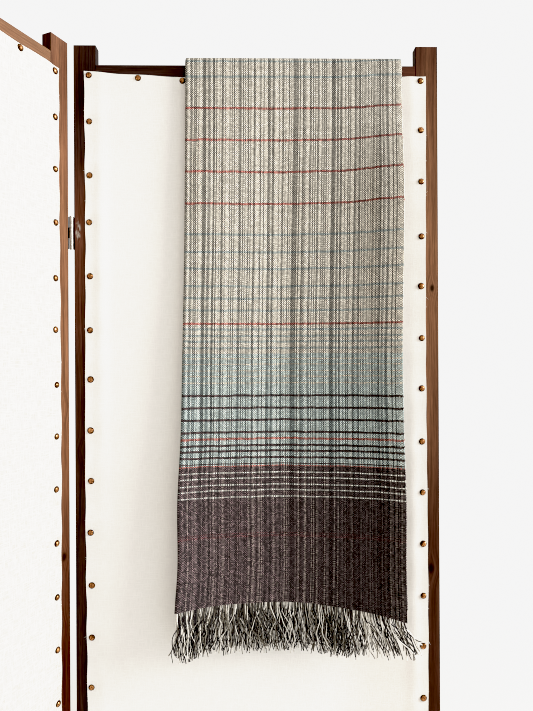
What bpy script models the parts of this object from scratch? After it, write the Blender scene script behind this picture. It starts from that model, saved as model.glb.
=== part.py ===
"""A woven throw blanket, folded lengthwise in three layers and hung over the top rail of a folding screen.

The screen has two panels of dark wood posts and rails with canvas on the front, joined by two butt hinges.
Run with: blender --background --python part.py
Units are metres, +Z is up. The origin is the centre of the foot of the main panel's hinge-side post,
+X runs along the main panel towards its free edge, and -Y is the front, where the throw's long end hangs.
"""

import math
from collections import namedtuple

import bmesh
import bpy
from mathutils import Matrix, Vector

# Clearances: between pieces that touch, and from the rail's edges to the cloth
SEAT_GAP = 0.0003
EDGE_CLEARANCE = 0.002

# Screen panel: posts and rails of planed lumber
POST_WIDTH = 0.038
POST_DEPTH = 0.019
POST_HEIGHT = 1.720
PANEL_WIDTH = 0.630
RAIL_HEIGHT = 0.038
TOP_RAIL_TOP = 1.687
WING_TOP_RAIL_TOP = 1.690
BOTTOM_RAIL_TOP = 0.100
POST_EASING = 0.0008
RAIL_EASING = 0.0022

# Canvas, nailed on the front of a panel
CANVAS_THICKNESS = 0.001
CANVAS_TOP_HINGE_SIDE = 1.672
CANVAS_TOP_FREE_SIDE = 1.665
CANVAS_BOTTOM = 0.070
CANVAS_INSET = 0.017
CANVAS_TOP_SAG = 0.007
CANVAS_WAVE = 0.0022
NAIL_SPACING = 0.089
POINTS_PER_NAIL = 2

# Butt hinges between the two panels, with the barrel on the front
HINGE_LENGTH = 0.055
HINGE_CENTRES = {"upper": 1.396, "lower": 0.324}
KNUCKLES = 3
KNUCKLE_RADIUS = 0.0035
BORE_RADIUS = 0.0018
PIN_RADIUS = 0.0015
PIN_HEAD_RADIUS = 0.0024
PIN_HEAD_HEIGHT = 0.0008
LEAF_THICKNESS = 0.0015
LEAF_WIDTH = 0.0165
LEAF_ROOT = 0.0005
BARREL_SIDES = 16
AXIS_TO_POST = LEAF_THICKNESS + 0.0021 + SEAT_GAP
AXIS_BEFORE_FRONT = 0.003
WING_ANGLE = math.radians(65.0)

# Throw: one sheet folded back and forth in three layers
CLOTH_THICKNESS = 0.0024
LAYER_GAP = 0.0009
LAYERS = 3
COLUMNS_PER_LAYER = 9
FOLD_SEGMENTS = 4
SELVAGE_SETBACK = 0.006
INNER_FOLD_SETBACK = 0.004
FRONT_CLEARANCE = 0.004
BACK_CLEARANCE = 0.003
TOP_GAP = 0.0006
SHOULDER_RADIUS = 0.0073
FRONT_STATIONS = 14
BACK_STATIONS = 9
STEP = 0.002
SHOULDER_STATIONS = 5
TOP_STATIONS = 4

# Sides of the hanging cloth by height: where they lie, and how far they bow out from its middle
Sides = namedtuple("Sides", "height left_x right_x left_bow right_bow")
FRONT_SIDES = (
    Sides(1.689, 0.1745, 0.5445, 0.000, 0.000),
    Sides(1.640, 0.1745, 0.5440, 0.001, 0.010),
    Sides(1.535, 0.1735, 0.5425, 0.004, 0.024),
    Sides(1.364, 0.1715, 0.5390, 0.006, 0.032),
    Sides(1.193, 0.1680, 0.5355, 0.012, 0.036),
    Sides(1.050, 0.1650, 0.5365, 0.018, 0.040),
    Sides(0.937, 0.1595, 0.5390, 0.024, 0.043),
    Sides(0.834, 0.1600, 0.5380, 0.029, 0.046),
    Sides(0.755, 0.1550, 0.5390, 0.033, 0.050),
    Sides(0.640, 0.1540, 0.5400, 0.036, 0.053),
)
BACK_SIDES = (
    Sides(1.689, 0.1745, 0.5445, 0.000, 0.000),
    Sides(1.500, 0.1745, 0.5440, 0.003, 0.004),
    Sides(1.200, 0.1735, 0.5430, 0.008, 0.011),
    Sides(0.840, 0.1715, 0.5440, 0.014, 0.018),
    Sides(0.740, 0.1710, 0.5445, 0.016, 0.020),
)
BOW_CENTRE = 0.42

# Soft ridges and troughs down the hanging front: place and half width as shares across, height out from
# the cloth, and the heights above the floor between which each fades in and out
Crease = namedtuple("Crease", "across half_width out top bottom")
CREASES = (
    Crease(0.08, 0.06, 0.0030, 1.675, 1.300),
    Crease(0.27, 0.09, -0.0018, 1.600, 0.950),
    Crease(0.56, 0.08, 0.0024, 1.500, 0.700),
    Crease(0.74, 0.06, -0.0020, 1.350, 0.720),
    Crease(0.90, 0.05, 0.0026, 1.670, 1.150),
)
HEM_MIDDLE = 0.7638
HEM_LEFT_DROP = 0.0040
HEM_RIGHT_DROP = 0.0163
BACK_HEM = 0.832
RIPPLE = 0.0014
RIPPLE_WAVES = 2.6
RIPPLE_SLANT = 3.0
BOW_START = 0.25

# Fringe: a narrow strip under each hem, and the cut ends as tapering locks
STRIP_GAP = 0.00045
STRIP_HEIGHT = 0.006
FRONT_LOCKS = (24, 30, 58)
BACK_LOCKS = (18, 20, 34)
FRONT_LOCK_LENGTH = 0.074
BACK_LOCK_LENGTH = 0.066
LOCK_SEGMENTS = {"front": 3, "back": 2}
LOCK_SHARE = 0.45
LOCK_TIP = 0.45
LOCK_SPREAD = 0.9
SWAY = 0.0055
SWAY_WAVES = 2.3
SPLAY_LEFT = 0.013
SPLAY_RIGHT = 0.032
SPLAY_SHARE = 0.16
CURL = 0.0010
LENGTH_VARIATION = 0.16
FRINGE_FLARE = {"front": 0.005, "back": 0.0035}

# Finish: colour, roughness and metallic value
FINISHES = {
    "throw": ((0.33, 0.30, 0.26), 0.95, 0.0),
    "fringe": ((0.10, 0.09, 0.08), 0.95, 0.0),
    "canvas": ((0.88, 0.86, 0.81), 0.92, 0.0),
    "main_wood": ((0.09, 0.035, 0.018), 0.45, 0.0),
    "main_free_wood": ((0.20, 0.09, 0.05), 0.45, 0.0),
    "wing_wood": ((0.24, 0.08, 0.035), 0.45, 0.0),
    "steel": ((0.62, 0.61, 0.58), 0.30, 1.0),
}

PANEL_FRONT = -POST_DEPTH / 2
PANEL_BACK = POST_DEPTH / 2
MAIN_LEFT = -POST_WIDTH / 2
CANVAS_FRONT = PANEL_FRONT - SEAT_GAP - CANVAS_THICKNESS
FRONT_FACE = CANVAS_FRONT - FRONT_CLEARANCE
BACK_FACE = PANEL_BACK + BACK_CLEARANCE
SHOULDER_TOP = TOP_RAIL_TOP + EDGE_CLEARANCE
SHOULDER_BASE = SHOULDER_TOP - SHOULDER_RADIUS
LAYER_PITCH = CLOTH_THICKNESS + LAYER_GAP
HINGE_AXIS = Vector((MAIN_LEFT - AXIS_TO_POST, PANEL_FRONT - AXIS_BEFORE_FRONT, 0.0))


def clear_scene():
    for obj in list(bpy.data.objects):
        bpy.data.objects.remove(obj, do_unlink=True)


def finish(name):
    """The material of one kind of surface, made once."""
    material = bpy.data.materials.get(name)
    if material:
        return material
    colour, roughness, metallic = FINISHES[name]
    material = bpy.data.materials.new(name)
    material.use_nodes = True
    shader = material.node_tree.nodes["Principled BSDF"]
    shader.inputs["Base Color"].default_value = (*colour, 1.0)
    shader.inputs["Roughness"].default_value = roughness
    shader.inputs["Metallic"].default_value = metallic
    material.diffuse_color = (*colour, 1.0)
    return material


def add_object(name, bm, material_name, parent=None):
    """A mesh object from bmesh data, its faces pointing out."""
    bmesh.ops.recalc_face_normals(bm, faces=bm.faces)
    mesh = bpy.data.meshes.new(name)
    bm.to_mesh(mesh)
    bm.free()
    mesh.materials.append(finish(material_name))
    obj = bpy.data.objects.new(name, mesh)
    bpy.context.scene.collection.objects.link(obj)
    obj.parent = parent
    return obj


# Panels


def eased_board(name, low, high, easing, material_name, parent):
    """A straight board with its long edges eased."""
    bm = bmesh.new()
    bmesh.ops.create_cube(bm, size=1.0)
    low, high = Vector(low), Vector(high)
    size = high - low
    centre = (low + high) / 2
    for vert in bm.verts:
        vert.co = Vector(vert.co[i] * size[i] + centre[i] for i in range(3))
    long_axis = max(range(3), key=lambda i: size[i])
    long_edges = [
        edge for edge in bm.edges
        if abs(edge.verts[0].co[long_axis] - edge.verts[1].co[long_axis]) > size[long_axis] / 2
    ]
    bmesh.ops.bevel(bm, geom=long_edges, offset=easing, segments=2, profile=0.5, affect="EDGES")
    return add_object(name, bm, material_name, parent)


def edge_wave(distance, phase):
    """How far the canvas's cut edge strays from a straight line, a little between every two nails."""
    between_nails = math.sin(math.pi * distance / NAIL_SPACING) ** 2
    slow = math.sin(distance * 7.0 + phase)
    return CANVAS_WAVE * (0.8 * slow - between_nails)


def canvas_outline(left, right, sign):
    """The outline of the canvas in X and Z, as cut: the sides waver and the top sags in the middle."""
    width = right - left
    tops = (CANVAS_TOP_HINGE_SIDE, CANVAS_TOP_FREE_SIDE)
    left_top, right_top = tops if sign > 0 else reversed(tops)
    height = left_top - CANVAS_BOTTOM
    across = round(width / NAIL_SPACING) * POINTS_PER_NAIL
    up = round(height / NAIL_SPACING) * POINTS_PER_NAIL
    points = []
    for i in range(across):
        share = i / across
        points.append((left + width * share, CANVAS_BOTTOM + edge_wave(width * share, 1.0)))
    for i in range(up):
        share = i / up
        z = CANVAS_BOTTOM + (right_top - CANVAS_BOTTOM) * share
        points.append((right + edge_wave(height * share, 2.0 + sign), z))
    for i in range(across):
        share = i / across
        sag = CANVAS_TOP_SAG * 4.0 * share * (1.0 - share)
        top = right_top + (left_top - right_top) * share
        points.append((right - width * share, top - sag - edge_wave(width * share, 3.0)))
    for i in range(up):
        share = i / up
        points.append((left - edge_wave(height * share, 4.0 - sign), left_top - height * share))
    return points


def canvas(name, left, right, sign, parent):
    """Canvas stretched over the front of a panel, extruded from its cut outline."""
    bm = bmesh.new()
    back_y = PANEL_FRONT - SEAT_GAP
    verts = [bm.verts.new((x, back_y, z)) for x, z in canvas_outline(left, right, sign)]
    face = bm.faces.new(verts)
    grown = bmesh.ops.extrude_face_region(bm, geom=[face])["geom"]
    moved = [item for item in grown if isinstance(item, bmesh.types.BMVert)]
    bmesh.ops.translate(bm, verts=moved, vec=(0.0, -CANVAS_THICKNESS, 0.0))
    return add_object(name, bm, "canvas", parent)


def panel(prefix, hinge_side_x, sign, top_rail_top, woods, parent):
    """Two posts, two rails and the canvas, reaching from hinge_side_x along X in the direction of sign."""
    free_side_x = hinge_side_x + sign * PANEL_WIDTH
    posts = {
        "post_hinge": (hinge_side_x, hinge_side_x + sign * POST_WIDTH, woods[0]),
        "post_free": (free_side_x - sign * POST_WIDTH, free_side_x, woods[1]),
    }
    for part, (start, end, wood) in posts.items():
        low = (min(start, end), PANEL_FRONT, 0.0)
        high = (max(start, end), PANEL_BACK, POST_HEIGHT)
        eased_board(f"{prefix}_{part}", low, high, POST_EASING, wood, parent)
    rail_ends = sorted(
        (
            hinge_side_x + sign * (POST_WIDTH + SEAT_GAP),
            free_side_x - sign * (POST_WIDTH + SEAT_GAP),
        )
    )
    for part, top in (("rail_top", top_rail_top), ("rail_bottom", BOTTOM_RAIL_TOP)):
        low = (rail_ends[0], PANEL_FRONT, top - RAIL_HEIGHT)
        high = (rail_ends[1], PANEL_BACK, top)
        eased_board(f"{prefix}_{part}", low, high, RAIL_EASING, woods[0], parent)
    canvas_ends = sorted((hinge_side_x + sign * CANVAS_INSET, free_side_x - sign * CANVAS_INSET))
    canvas(f"{prefix}_canvas", canvas_ends[0], canvas_ends[1], sign, parent)


# Hinges


def barrel_cylinder(bm, radius, low, high):
    """A closed cylinder on the hinge axis, from height low to height high."""
    middle = Matrix.Translation((HINGE_AXIS.x, HINGE_AXIS.y, (low + high) / 2))
    turned = Matrix.Rotation(math.pi / BARREL_SIDES, 4, "Z")
    bmesh.ops.create_cone(
        bm, cap_ends=True, segments=BARREL_SIDES, radius1=radius, radius2=radius,
        depth=high - low, matrix=middle @ turned,
    )


def tool_object(name, bm, parent):
    """A body that only adds to or cuts another, left out of the build."""
    tool = add_object(name, bm, "steel", parent)
    tool.hide_render = True
    tool.display_type = "WIRE"
    return tool


def leaf(name, side, centre_z, knuckle_spans, parent):
    """One hinge leaf: a plate on the post's side face and its knuckles round the axis.

    side is 1 for the main panel's leaf and -1 for the wing's, which is its mirror image.
    """
    low_z = centre_z - HINGE_LENGTH / 2
    high_z = centre_z + HINGE_LENGTH / 2
    outer_x = AXIS_TO_POST - SEAT_GAP
    inner_x = outer_x - LEAF_THICKNESS
    clear_y = KNUCKLE_RADIUS + SEAT_GAP
    outline = [(LEAF_WIDTH, low_z), (clear_y, low_z)]
    for low, high in knuckle_spans:
        outline += [(clear_y, low), (LEAF_ROOT, low), (LEAF_ROOT, high), (clear_y, high)]
    outline += [(clear_y, high_z), (LEAF_WIDTH, high_z)]
    outline = [point for i, point in enumerate(outline) if point not in outline[:i]]
    bm = bmesh.new()
    verts = [
        bm.verts.new((HINGE_AXIS.x + side * inner_x, HINGE_AXIS.y + y, z)) for y, z in outline
    ]
    face = bm.faces.new(verts)
    grown = bmesh.ops.extrude_face_region(bm, geom=[face])["geom"]
    moved = [item for item in grown if isinstance(item, bmesh.types.BMVert)]
    bmesh.ops.translate(bm, verts=moved, vec=(side * LEAF_THICKNESS, 0.0, 0.0))
    plate = add_object(name, bm, "steel", parent)

    bm = bmesh.new()
    for low, high in knuckle_spans:
        barrel_cylinder(bm, KNUCKLE_RADIUS, low, high)
    knuckles = tool_object(f"{name}_knuckles", bm, parent)
    bm = bmesh.new()
    barrel_cylinder(bm, BORE_RADIUS, low_z - LEAF_WIDTH, high_z + LEAF_WIDTH)
    bore = tool_object(f"{name}_bore", bm, parent)
    for label, operation, tool in (("Knuckles", "UNION", knuckles), ("Bore", "DIFFERENCE", bore)):
        modifier = plate.modifiers.new(label, "BOOLEAN")
        modifier.operation = operation
        modifier.object = tool
        modifier.solver = "EXACT"
    return plate


def hinge(place, centre_z, main_parent, wing_parent):
    """A butt hinge: outer knuckles on the main leaf, the middle one on the wing's leaf, and the pin."""
    low_z = centre_z - HINGE_LENGTH / 2
    high_z = centre_z + HINGE_LENGTH / 2
    length = HINGE_LENGTH / KNUCKLES
    running = SEAT_GAP / 2
    outer = [(low_z, low_z + length - running), (high_z - length + running, high_z)]
    middle = [(low_z + length + running, high_z - length - running)]
    leaf(f"hinge_{place}_main_leaf", 1, centre_z, outer, main_parent)
    leaf(f"hinge_{place}_wing_leaf", -1, centre_z, middle, wing_parent)
    bm = bmesh.new()
    reach = SEAT_GAP + PIN_HEAD_HEIGHT / 2
    barrel_cylinder(bm, PIN_RADIUS, low_z - reach, high_z + reach)
    pin = add_object(f"hinge_{place}_pin", bm, "steel", main_parent)
    bm = bmesh.new()
    barrel_cylinder(bm, PIN_HEAD_RADIUS, high_z + SEAT_GAP, high_z + SEAT_GAP + PIN_HEAD_HEIGHT)
    barrel_cylinder(bm, PIN_HEAD_RADIUS, low_z - SEAT_GAP - PIN_HEAD_HEIGHT, low_z - SEAT_GAP)
    heads = tool_object(f"hinge_{place}_pin_heads", bm, main_parent)
    modifier = pin.modifiers.new("Heads", "BOOLEAN")
    modifier.operation = "UNION"
    modifier.object = heads
    modifier.solver = "EXACT"


# Throw


def sides_at(rows, height):
    """The sides of the cloth at any height, on a smooth curve through the rows, which run downwards."""
    last = len(rows) - 1
    if height >= rows[0].height:
        return rows[0]
    below = next((i for i in range(1, last + 1) if height >= rows[i].height), last)
    upper, lower = rows[below - 1], rows[below]
    before = rows[below - 2] if below > 1 else upper
    after = rows[below + 1] if below < last else lower
    span = upper.height - lower.height
    share = min(1.0, (upper.height - height) / span)
    square, cube = share ** 2, share ** 3
    values = [height]
    for k in range(1, len(upper)):
        enter = (lower[k] - before[k]) / (before.height - lower.height) * span if below > 1 else 0.0
        leave = (after[k] - upper[k]) / (upper.height - after.height) * span
        value = (2 * cube - 3 * square + 1) * upper[k] + (3 * square - 2 * cube) * lower[k]
        value += (cube - 2 * square + share) * enter + (cube - square) * leave
        values.append(value)
    return Sides(*values)


def bow(across, left, right):
    """How far the cloth stands forward at a share of its width, rising towards both sides."""
    across = min(1.0, max(0.0, across))
    if across < BOW_CENTRE:
        return left * ((BOW_CENTRE - across) / BOW_CENTRE) ** 2
    return right * ((across - BOW_CENTRE) / (1.0 - BOW_CENTRE)) ** 2


def front_hem(across):
    """Height of the front hem, lowest at its right corner."""
    left = max(0.0, (BOW_CENTRE - across) / BOW_CENTRE)
    right = max(0.0, (across - BOW_CENTRE) / (1.0 - BOW_CENTRE))
    return HEM_MIDDLE - HEM_LEFT_DROP * left ** 2 - HEM_RIGHT_DROP * right ** 2


def ripple(across, height):
    """Slight unevenness of the hanging cloth, always outwards."""
    return RIPPLE * (1.0 + math.sin(across * RIPPLE_WAVES * 2.0 * math.pi + height * RIPPLE_SLANT))


def creased(across, height):
    """The soft ridges and troughs of the front, added up."""
    total = 0.0
    for crease in CREASES:
        aside = abs(across - crease.across) / crease.half_width
        along = (crease.top - height) / (crease.top - crease.bottom)
        if aside < 1.0 and 0.0 < along < 1.0:
            total += crease.out * math.cos(aside * math.pi / 2) ** 2 * math.sin(along * math.pi)
    return total


def drop_point(side, across, height):
    """A point on the innermost face of a drop, which starts straight below the rail's shoulder."""
    sides = sides_at(FRONT_SIDES if side == "front" else BACK_SIDES, height)
    ease = min(1.0, max(0.0, (SHOULDER_BASE - height) / BOW_START))
    out = bow(across, sides.left_bow, sides.right_bow) + ripple(across, height)
    out += creased(across, height) if side == "front" else 0.0
    out *= ease * ease * (3.0 - 2.0 * ease)
    x = sides.left_x + (sides.right_x - sides.left_x) * across
    y = FRONT_FACE - out if side == "front" else BACK_FACE + out
    return Vector((x, y, height))


def drop_normal(side, across, height):
    """The outward direction there, from two small steps along the surface."""
    along_x = drop_point(side, across + STEP, height) - drop_point(side, across - STEP, height)
    along_z = drop_point(side, across, height + STEP) - drop_point(side, across, height - STEP)
    normal = along_x.cross(along_z).normalized()
    return normal if side == "front" else -normal


def cloth_stations():
    """The stations from the front hem over the rail to the back hem, each a function of the share across."""
    stations = []
    left_x, right_x = FRONT_SIDES[0][1:3]

    def on_drop(side, share):
        def place(across):
            hem = front_hem(across) if side == "front" else BACK_HEM
            height = hem + (SHOULDER_BASE - hem) * share
            return drop_point(side, across, height), drop_normal(side, across, height)
        return place

    def on_shoulder(direction, angle):
        face = FRONT_FACE if direction < 0 else BACK_FACE
        centre_y = face - direction * SHOULDER_RADIUS

        def place(across):
            outward = Vector((0.0, direction * math.cos(angle), math.sin(angle)))
            centre = Vector((left_x + (right_x - left_x) * across, centre_y, SHOULDER_BASE))
            return centre + outward * SHOULDER_RADIUS, outward
        return place

    def on_top(share):
        start = FRONT_FACE + SHOULDER_RADIUS
        end = BACK_FACE - SHOULDER_RADIUS
        dip = SHOULDER_TOP - TOP_RAIL_TOP - TOP_GAP

        def place(across):
            x = left_x + (right_x - left_x) * across
            z = SHOULDER_TOP - dip * math.sin(math.pi * share) ** 2
            return Vector((x, start + (end - start) * share, z)), Vector((0.0, 0.0, 1.0))
        return place

    for i in range(FRONT_STATIONS):
        stations.append(on_drop("front", i / FRONT_STATIONS))
    for i in range(SHOULDER_STATIONS):
        stations.append(on_shoulder(-1, math.pi / 2 * i / SHOULDER_STATIONS))
    for i in range(TOP_STATIONS):
        stations.append(on_top(i / TOP_STATIONS))
    for i in range(SHOULDER_STATIONS):
        stations.append(on_shoulder(1, math.pi / 2 * (1.0 - i / SHOULDER_STATIONS)))
    for i in range(BACK_STATIONS + 1):
        stations.append(on_drop("back", 1.0 - i / BACK_STATIONS))
    return stations


def lock_shares(locks):
    """Shares along one layer where a lock starts or ends, with a gap at both ends of the layer."""
    pitch = 1.0 / locks
    half = pitch * LOCK_SHARE / 2
    shares = [0.0]
    for i in range(locks):
        centre = (i + 0.5) * pitch
        shares += [centre - half, centre + half]
    return shares + [1.0]


def folded_section(width, shares_of_layers):
    """The section across the folded throw, as points on the middle of the cloth and their directions.

    It runs from the selvage of the outer layer at the right, to and fro, to the selvage of the inner layer.
    Each row is the distance from the left edge, the distance from the innermost face, the two parts of
    the direction across the cloth's thickness, and the layer, or None in a fold.
    """
    half_pitch = LAYER_PITCH / 2
    edge = half_pitch + CLOTH_THICKNESS / 2
    ends = {
        2: (width, edge),
        1: (edge, width - INNER_FOLD_SETBACK - edge),
        0: (width - INNER_FOLD_SETBACK - edge, SELVAGE_SETBACK),
    }
    rows = []
    for layer in (2, 1, 0):
        start, end = ends[layer]
        level = CLOTH_THICKNESS / 2 + layer * LAYER_PITCH
        towards = 1.0 if end > start else -1.0
        for share in shares_of_layers[layer]:
            rows.append((start + (end - start) * share, level, 0.0, -towards, layer))
        if layer == 0:
            break
        for i in range(1, FOLD_SEGMENTS):
            turn = math.pi * i / FOLD_SEGMENTS
            across_dir = towards * math.sin(turn)
            out_dir = math.cos(turn)
            flip = -towards
            rows.append(
                (
                    end + half_pitch * across_dir,
                    level - half_pitch + half_pitch * out_dir,
                    flip * across_dir,
                    flip * out_dir,
                    None,
                )
            )
    return rows


def section_width():
    return FRONT_SIDES[0].right_x - FRONT_SIDES[0].left_x


def slab(bm, rings):
    """A closed slab from rings of paired points, one pair a column. It returns its last ring's end faces."""
    grid = [[(bm.verts.new(a), bm.verts.new(b)) for a, b in ring] for ring in rings]
    last_ring = len(grid) - 1
    last = len(grid[0]) - 1
    for i in range(last_ring):
        for j in range(last):
            for k in (0, 1):
                bm.faces.new((grid[i][j][k], grid[i][j + 1][k], grid[i + 1][j + 1][k], grid[i + 1][j][k]))
        for j in (0, last):
            bm.faces.new((grid[i][j][0], grid[i][j][1], grid[i + 1][j][1], grid[i + 1][j][0]))
    for i in (0, last_ring):
        ends = [
            bm.faces.new((grid[i][j][0], grid[i][j + 1][0], grid[i][j + 1][1], grid[i][j][1]))
            for j in range(last)
        ]
    return ends


def ring_at(place, section, width):
    """The pairs of points of the section at one station."""
    pairs = []
    for distance, level, across_dir, out_dir, _ in section:
        pair = []
        for face in (1.0, -1.0):
            half = face * CLOTH_THICKNESS / 2
            across = (distance + across_dir * half) / width
            point, outward = place(across)
            pair.append(point + outward * (level + out_dir * half))
        pairs.append(pair)
    return pairs


def throw_cloth(parent):
    width = section_width()
    even = [i / COLUMNS_PER_LAYER for i in range(COLUMNS_PER_LAYER + 1)]
    section = folded_section(width, [even] * LAYERS)
    bm = bmesh.new()
    slab(bm, [ring_at(place, section, width) for place in cloth_stations()])
    cloth = add_object("throw_cloth", bm, "throw", parent)
    cloth.data.shade_smooth()
    cloth.data.set_sharp_from_angle(angle=math.radians(50.0))


def below_hem(side, drop):
    """The station at a distance below the hem."""
    def place(across):
        hem = front_hem(across) if side == "front" else BACK_HEM
        return drop_point(side, across, hem - drop), drop_normal(side, across, hem - drop)
    return place


def splay(across):
    """How far the tips of the front fringe spread sideways beyond the cloth's two sides."""
    left = max(0.0, 1.0 - across / SPLAY_SHARE)
    right = max(0.0, 1.0 - (1.0 - across) / SPLAY_SHARE)
    return SPLAY_RIGHT * right ** 2 - SPLAY_LEFT * left ** 2


def strand_noise(index, salt):
    """A repeatable uneven value from -1 to 1 for each lock."""
    value = math.sin(index * 12.9898 + salt * 78.233) * 43758.5453
    return 2.0 * (value - math.floor(value)) - 1.0


def fringe(name, side, locks, length, parent):
    """The strip under a hem, fused to the roots of its locks, which sway slowly and flare outwards."""
    width = section_width()
    section = folded_section(width, [lock_shares(count) for count in locks])
    bm = bmesh.new()
    rings = [
        ring_at(below_hem(side, STRIP_GAP), section, width),
        ring_at(below_hem(side, STRIP_GAP + STRIP_HEIGHT), section, width),
    ]
    bottoms = slab(bm, rings)
    roots = []
    for j in range(len(section) - 1):
        layer = section[j][4]
        same = layer is not None and section[j + 1][4] == layer
        first = next((k for k, row in enumerate(section) if row[4] == layer), 0)
        if same and (j - first) % 2:
            roots.append((bottoms[j], (section[j][0] + section[j + 1][0]) / 2, section[j][1]))
    for index, (root, distance, level) in enumerate(roots):
        whole = length * (1.0 + LENGTH_VARIATION * strand_noise(index, 1.0))
        lock(bm, root, index, side, distance, level, whole, width)
    piece = add_object(name, bm, "fringe", parent)
    piece.data.shade_smooth()
    piece.data.set_sharp_from_angle(angle=math.radians(50.0))


def lock(bm, root, index, side, distance, level, length, width):
    """One tapering lock of cut ends, extruded downwards from its root face on the strip."""
    segments = LOCK_SEGMENTS[side]
    first_drop = STRIP_GAP + STRIP_HEIGHT
    point, outward = below_hem(side, first_drop)(distance / width)
    offsets = [vert.co - point - outward * level for vert in root.verts]
    face = root
    for i in range(1, segments + 1):
        share = i / segments
        drop = first_drop + (length - first_drop) * share
        sway = SWAY * math.sin(distance / width * SWAY_WAVES * 2.0 * math.pi + 1.0) * share
        sway += splay(distance / width) * share if side == "front" else 0.0
        curl = CURL * strand_noise(index, 1.0 + i)
        across = (distance + sway + curl) / width
        point, outward = below_hem(side, drop)(across)
        out = level * (1.0 + LOCK_SPREAD * share) + FRINGE_FLARE[side] * share ** 2
        taper = 1.0 - (1.0 - LOCK_TIP) * share
        grown = bmesh.ops.extrude_discrete_faces(bm, faces=[face])["faces"][0]
        for vert, offset in zip(grown.verts, offsets):
            vert.co = point + outward * out + offset * taper
        face = grown


def build():
    clear_scene()
    main = bpy.data.objects.new("main_panel", None)
    wing = bpy.data.objects.new("wing_panel", None)
    for empty in (main, wing):
        bpy.context.scene.collection.objects.link(empty)
    wing.parent = main
    panel("main", MAIN_LEFT, 1, TOP_RAIL_TOP, ("main_wood", "main_free_wood"), main)
    panel("wing", HINGE_AXIS.x - AXIS_TO_POST, -1, WING_TOP_RAIL_TOP, ("wing_wood", "wing_wood"), wing)
    for place, centre_z in HINGE_CENTRES.items():
        hinge(place, centre_z, main, wing)
    throw_cloth(main)
    fringe("fringe_front", "front", FRONT_LOCKS, FRONT_LOCK_LENGTH, main)
    fringe("fringe_back", "back", BACK_LOCKS, BACK_LOCK_LENGTH, main)
    stand_wing(wing)


def stand_wing(wing):
    """Moves the wing's empty to the hinge axis, keeps its pieces in place, and turns it to rest."""
    for piece in wing.children:
        piece.location = piece.location - HINGE_AXIS
    wing.location = HINGE_AXIS
    wing.rotation_euler = (0.0, 0.0, WING_ANGLE)
    bpy.context.view_layer.update()


build()
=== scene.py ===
"""Looks of the woven throw on its folding screen: weave and stripes, fringe, canvas, nails, wood and steel.

Everything is in metres in the frame of the solids: +X along the main panel, -Y towards the viewer, +Z up.
"""

import math
from collections import namedtuple

import bmesh
import bpy
import numpy as np
from mathutils import Matrix, Vector


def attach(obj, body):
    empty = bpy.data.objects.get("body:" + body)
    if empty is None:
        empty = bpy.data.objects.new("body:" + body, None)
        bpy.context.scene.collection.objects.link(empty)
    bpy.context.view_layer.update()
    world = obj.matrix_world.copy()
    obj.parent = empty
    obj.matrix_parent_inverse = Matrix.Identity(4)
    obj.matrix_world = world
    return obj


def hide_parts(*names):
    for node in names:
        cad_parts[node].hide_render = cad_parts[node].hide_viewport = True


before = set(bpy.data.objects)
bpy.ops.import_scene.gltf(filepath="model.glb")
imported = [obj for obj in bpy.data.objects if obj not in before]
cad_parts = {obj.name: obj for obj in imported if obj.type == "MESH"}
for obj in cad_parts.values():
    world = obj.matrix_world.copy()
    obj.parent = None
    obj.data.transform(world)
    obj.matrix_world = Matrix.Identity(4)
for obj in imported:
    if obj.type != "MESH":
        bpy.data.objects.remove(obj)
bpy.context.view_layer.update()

# Bodies of the frame
MAIN = "main_panel"
WING = "wing_panel"

# Camera, solved from the photograph, whose frame is 533 by 711 pixels
PHOTO_HEIGHT_PX = 711
FOCAL_PX = 560.0
SENSOR_MM = 36.0
CAMERA_PLACE = (0.2942, -0.9796, 1.184)
CAMERA_YAW = math.radians(-1.0)
CAMERA_ROLL = math.radians(-0.28)

# Film: blacks a little deepened and bright parts rolled off, as (scene light, shown light) with WHITE_LEVEL
# as 1
BLACK_LEVEL = 0.03
WHITE_LEVEL = 2.0
FILM_POINTS = ((0.25, 0.50), (0.40, 0.765), (0.50, 0.885), (0.62, 0.925), (0.80, 0.950))
FILM_TOP = 0.97

# Light: what the camera sees behind the part, and what the surround sheds from either side
BACKDROP = (1.13, 1.125, 1.115)
LIGHT_FROM_LEFT = (0.42, 0.345, 0.25)
LIGHT_FROM_RIGHT = (1.45, 1.45, 1.44)
FLOOR_RADIUS = 2.4
FLOOR_PLACE = (0.15, -0.25, -0.0005)

# Screen panels, as in the solids
POST_WIDTH = 0.038
POST_HEIGHT = 1.720
POST_DEPTH = 0.019
PANEL_WIDTH = 0.630
RAIL_HEIGHT = 0.038
TOP_RAIL_TOP = 1.687
BOTTOM_RAIL_TOP = 0.100
WING_TOP_RAIL_TOP = 1.690
CANVAS_THICKNESS = 0.001
CANVAS_BOTTOM = 0.070
CANVAS_INSET_LEFT = 0.0182
CANVAS_INSET_RIGHT = 0.0212
CANVAS_WIDTH = PANEL_WIDTH - CANVAS_INSET_LEFT - CANVAS_INSET_RIGHT
# Height of each canvas's top edge at its hinge side and its free side, and how far it sags between them
CanvasTop = namedtuple("CanvasTop", "hinge free sag")
CANVAS_TOPS = {"main": CanvasTop(1.675, 1.668, 0.0105), "wing": CanvasTop(1.667, 1.668, -0.001)}
CANVAS_WAVE = 0.0012
SEAT_GAP = 0.0003
WING_ANGLE = math.radians(65.0)
PANEL_FRONT = -POST_DEPTH / 2
PANEL_BACK = POST_DEPTH / 2
MAIN_LEFT = -POST_WIDTH / 2
HINGE_AXIS = Vector((-0.0229, -0.0125, 0.0))
WING_RIGHT = HINGE_AXIS.x - (MAIN_LEFT - HINGE_AXIS.x)

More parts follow.
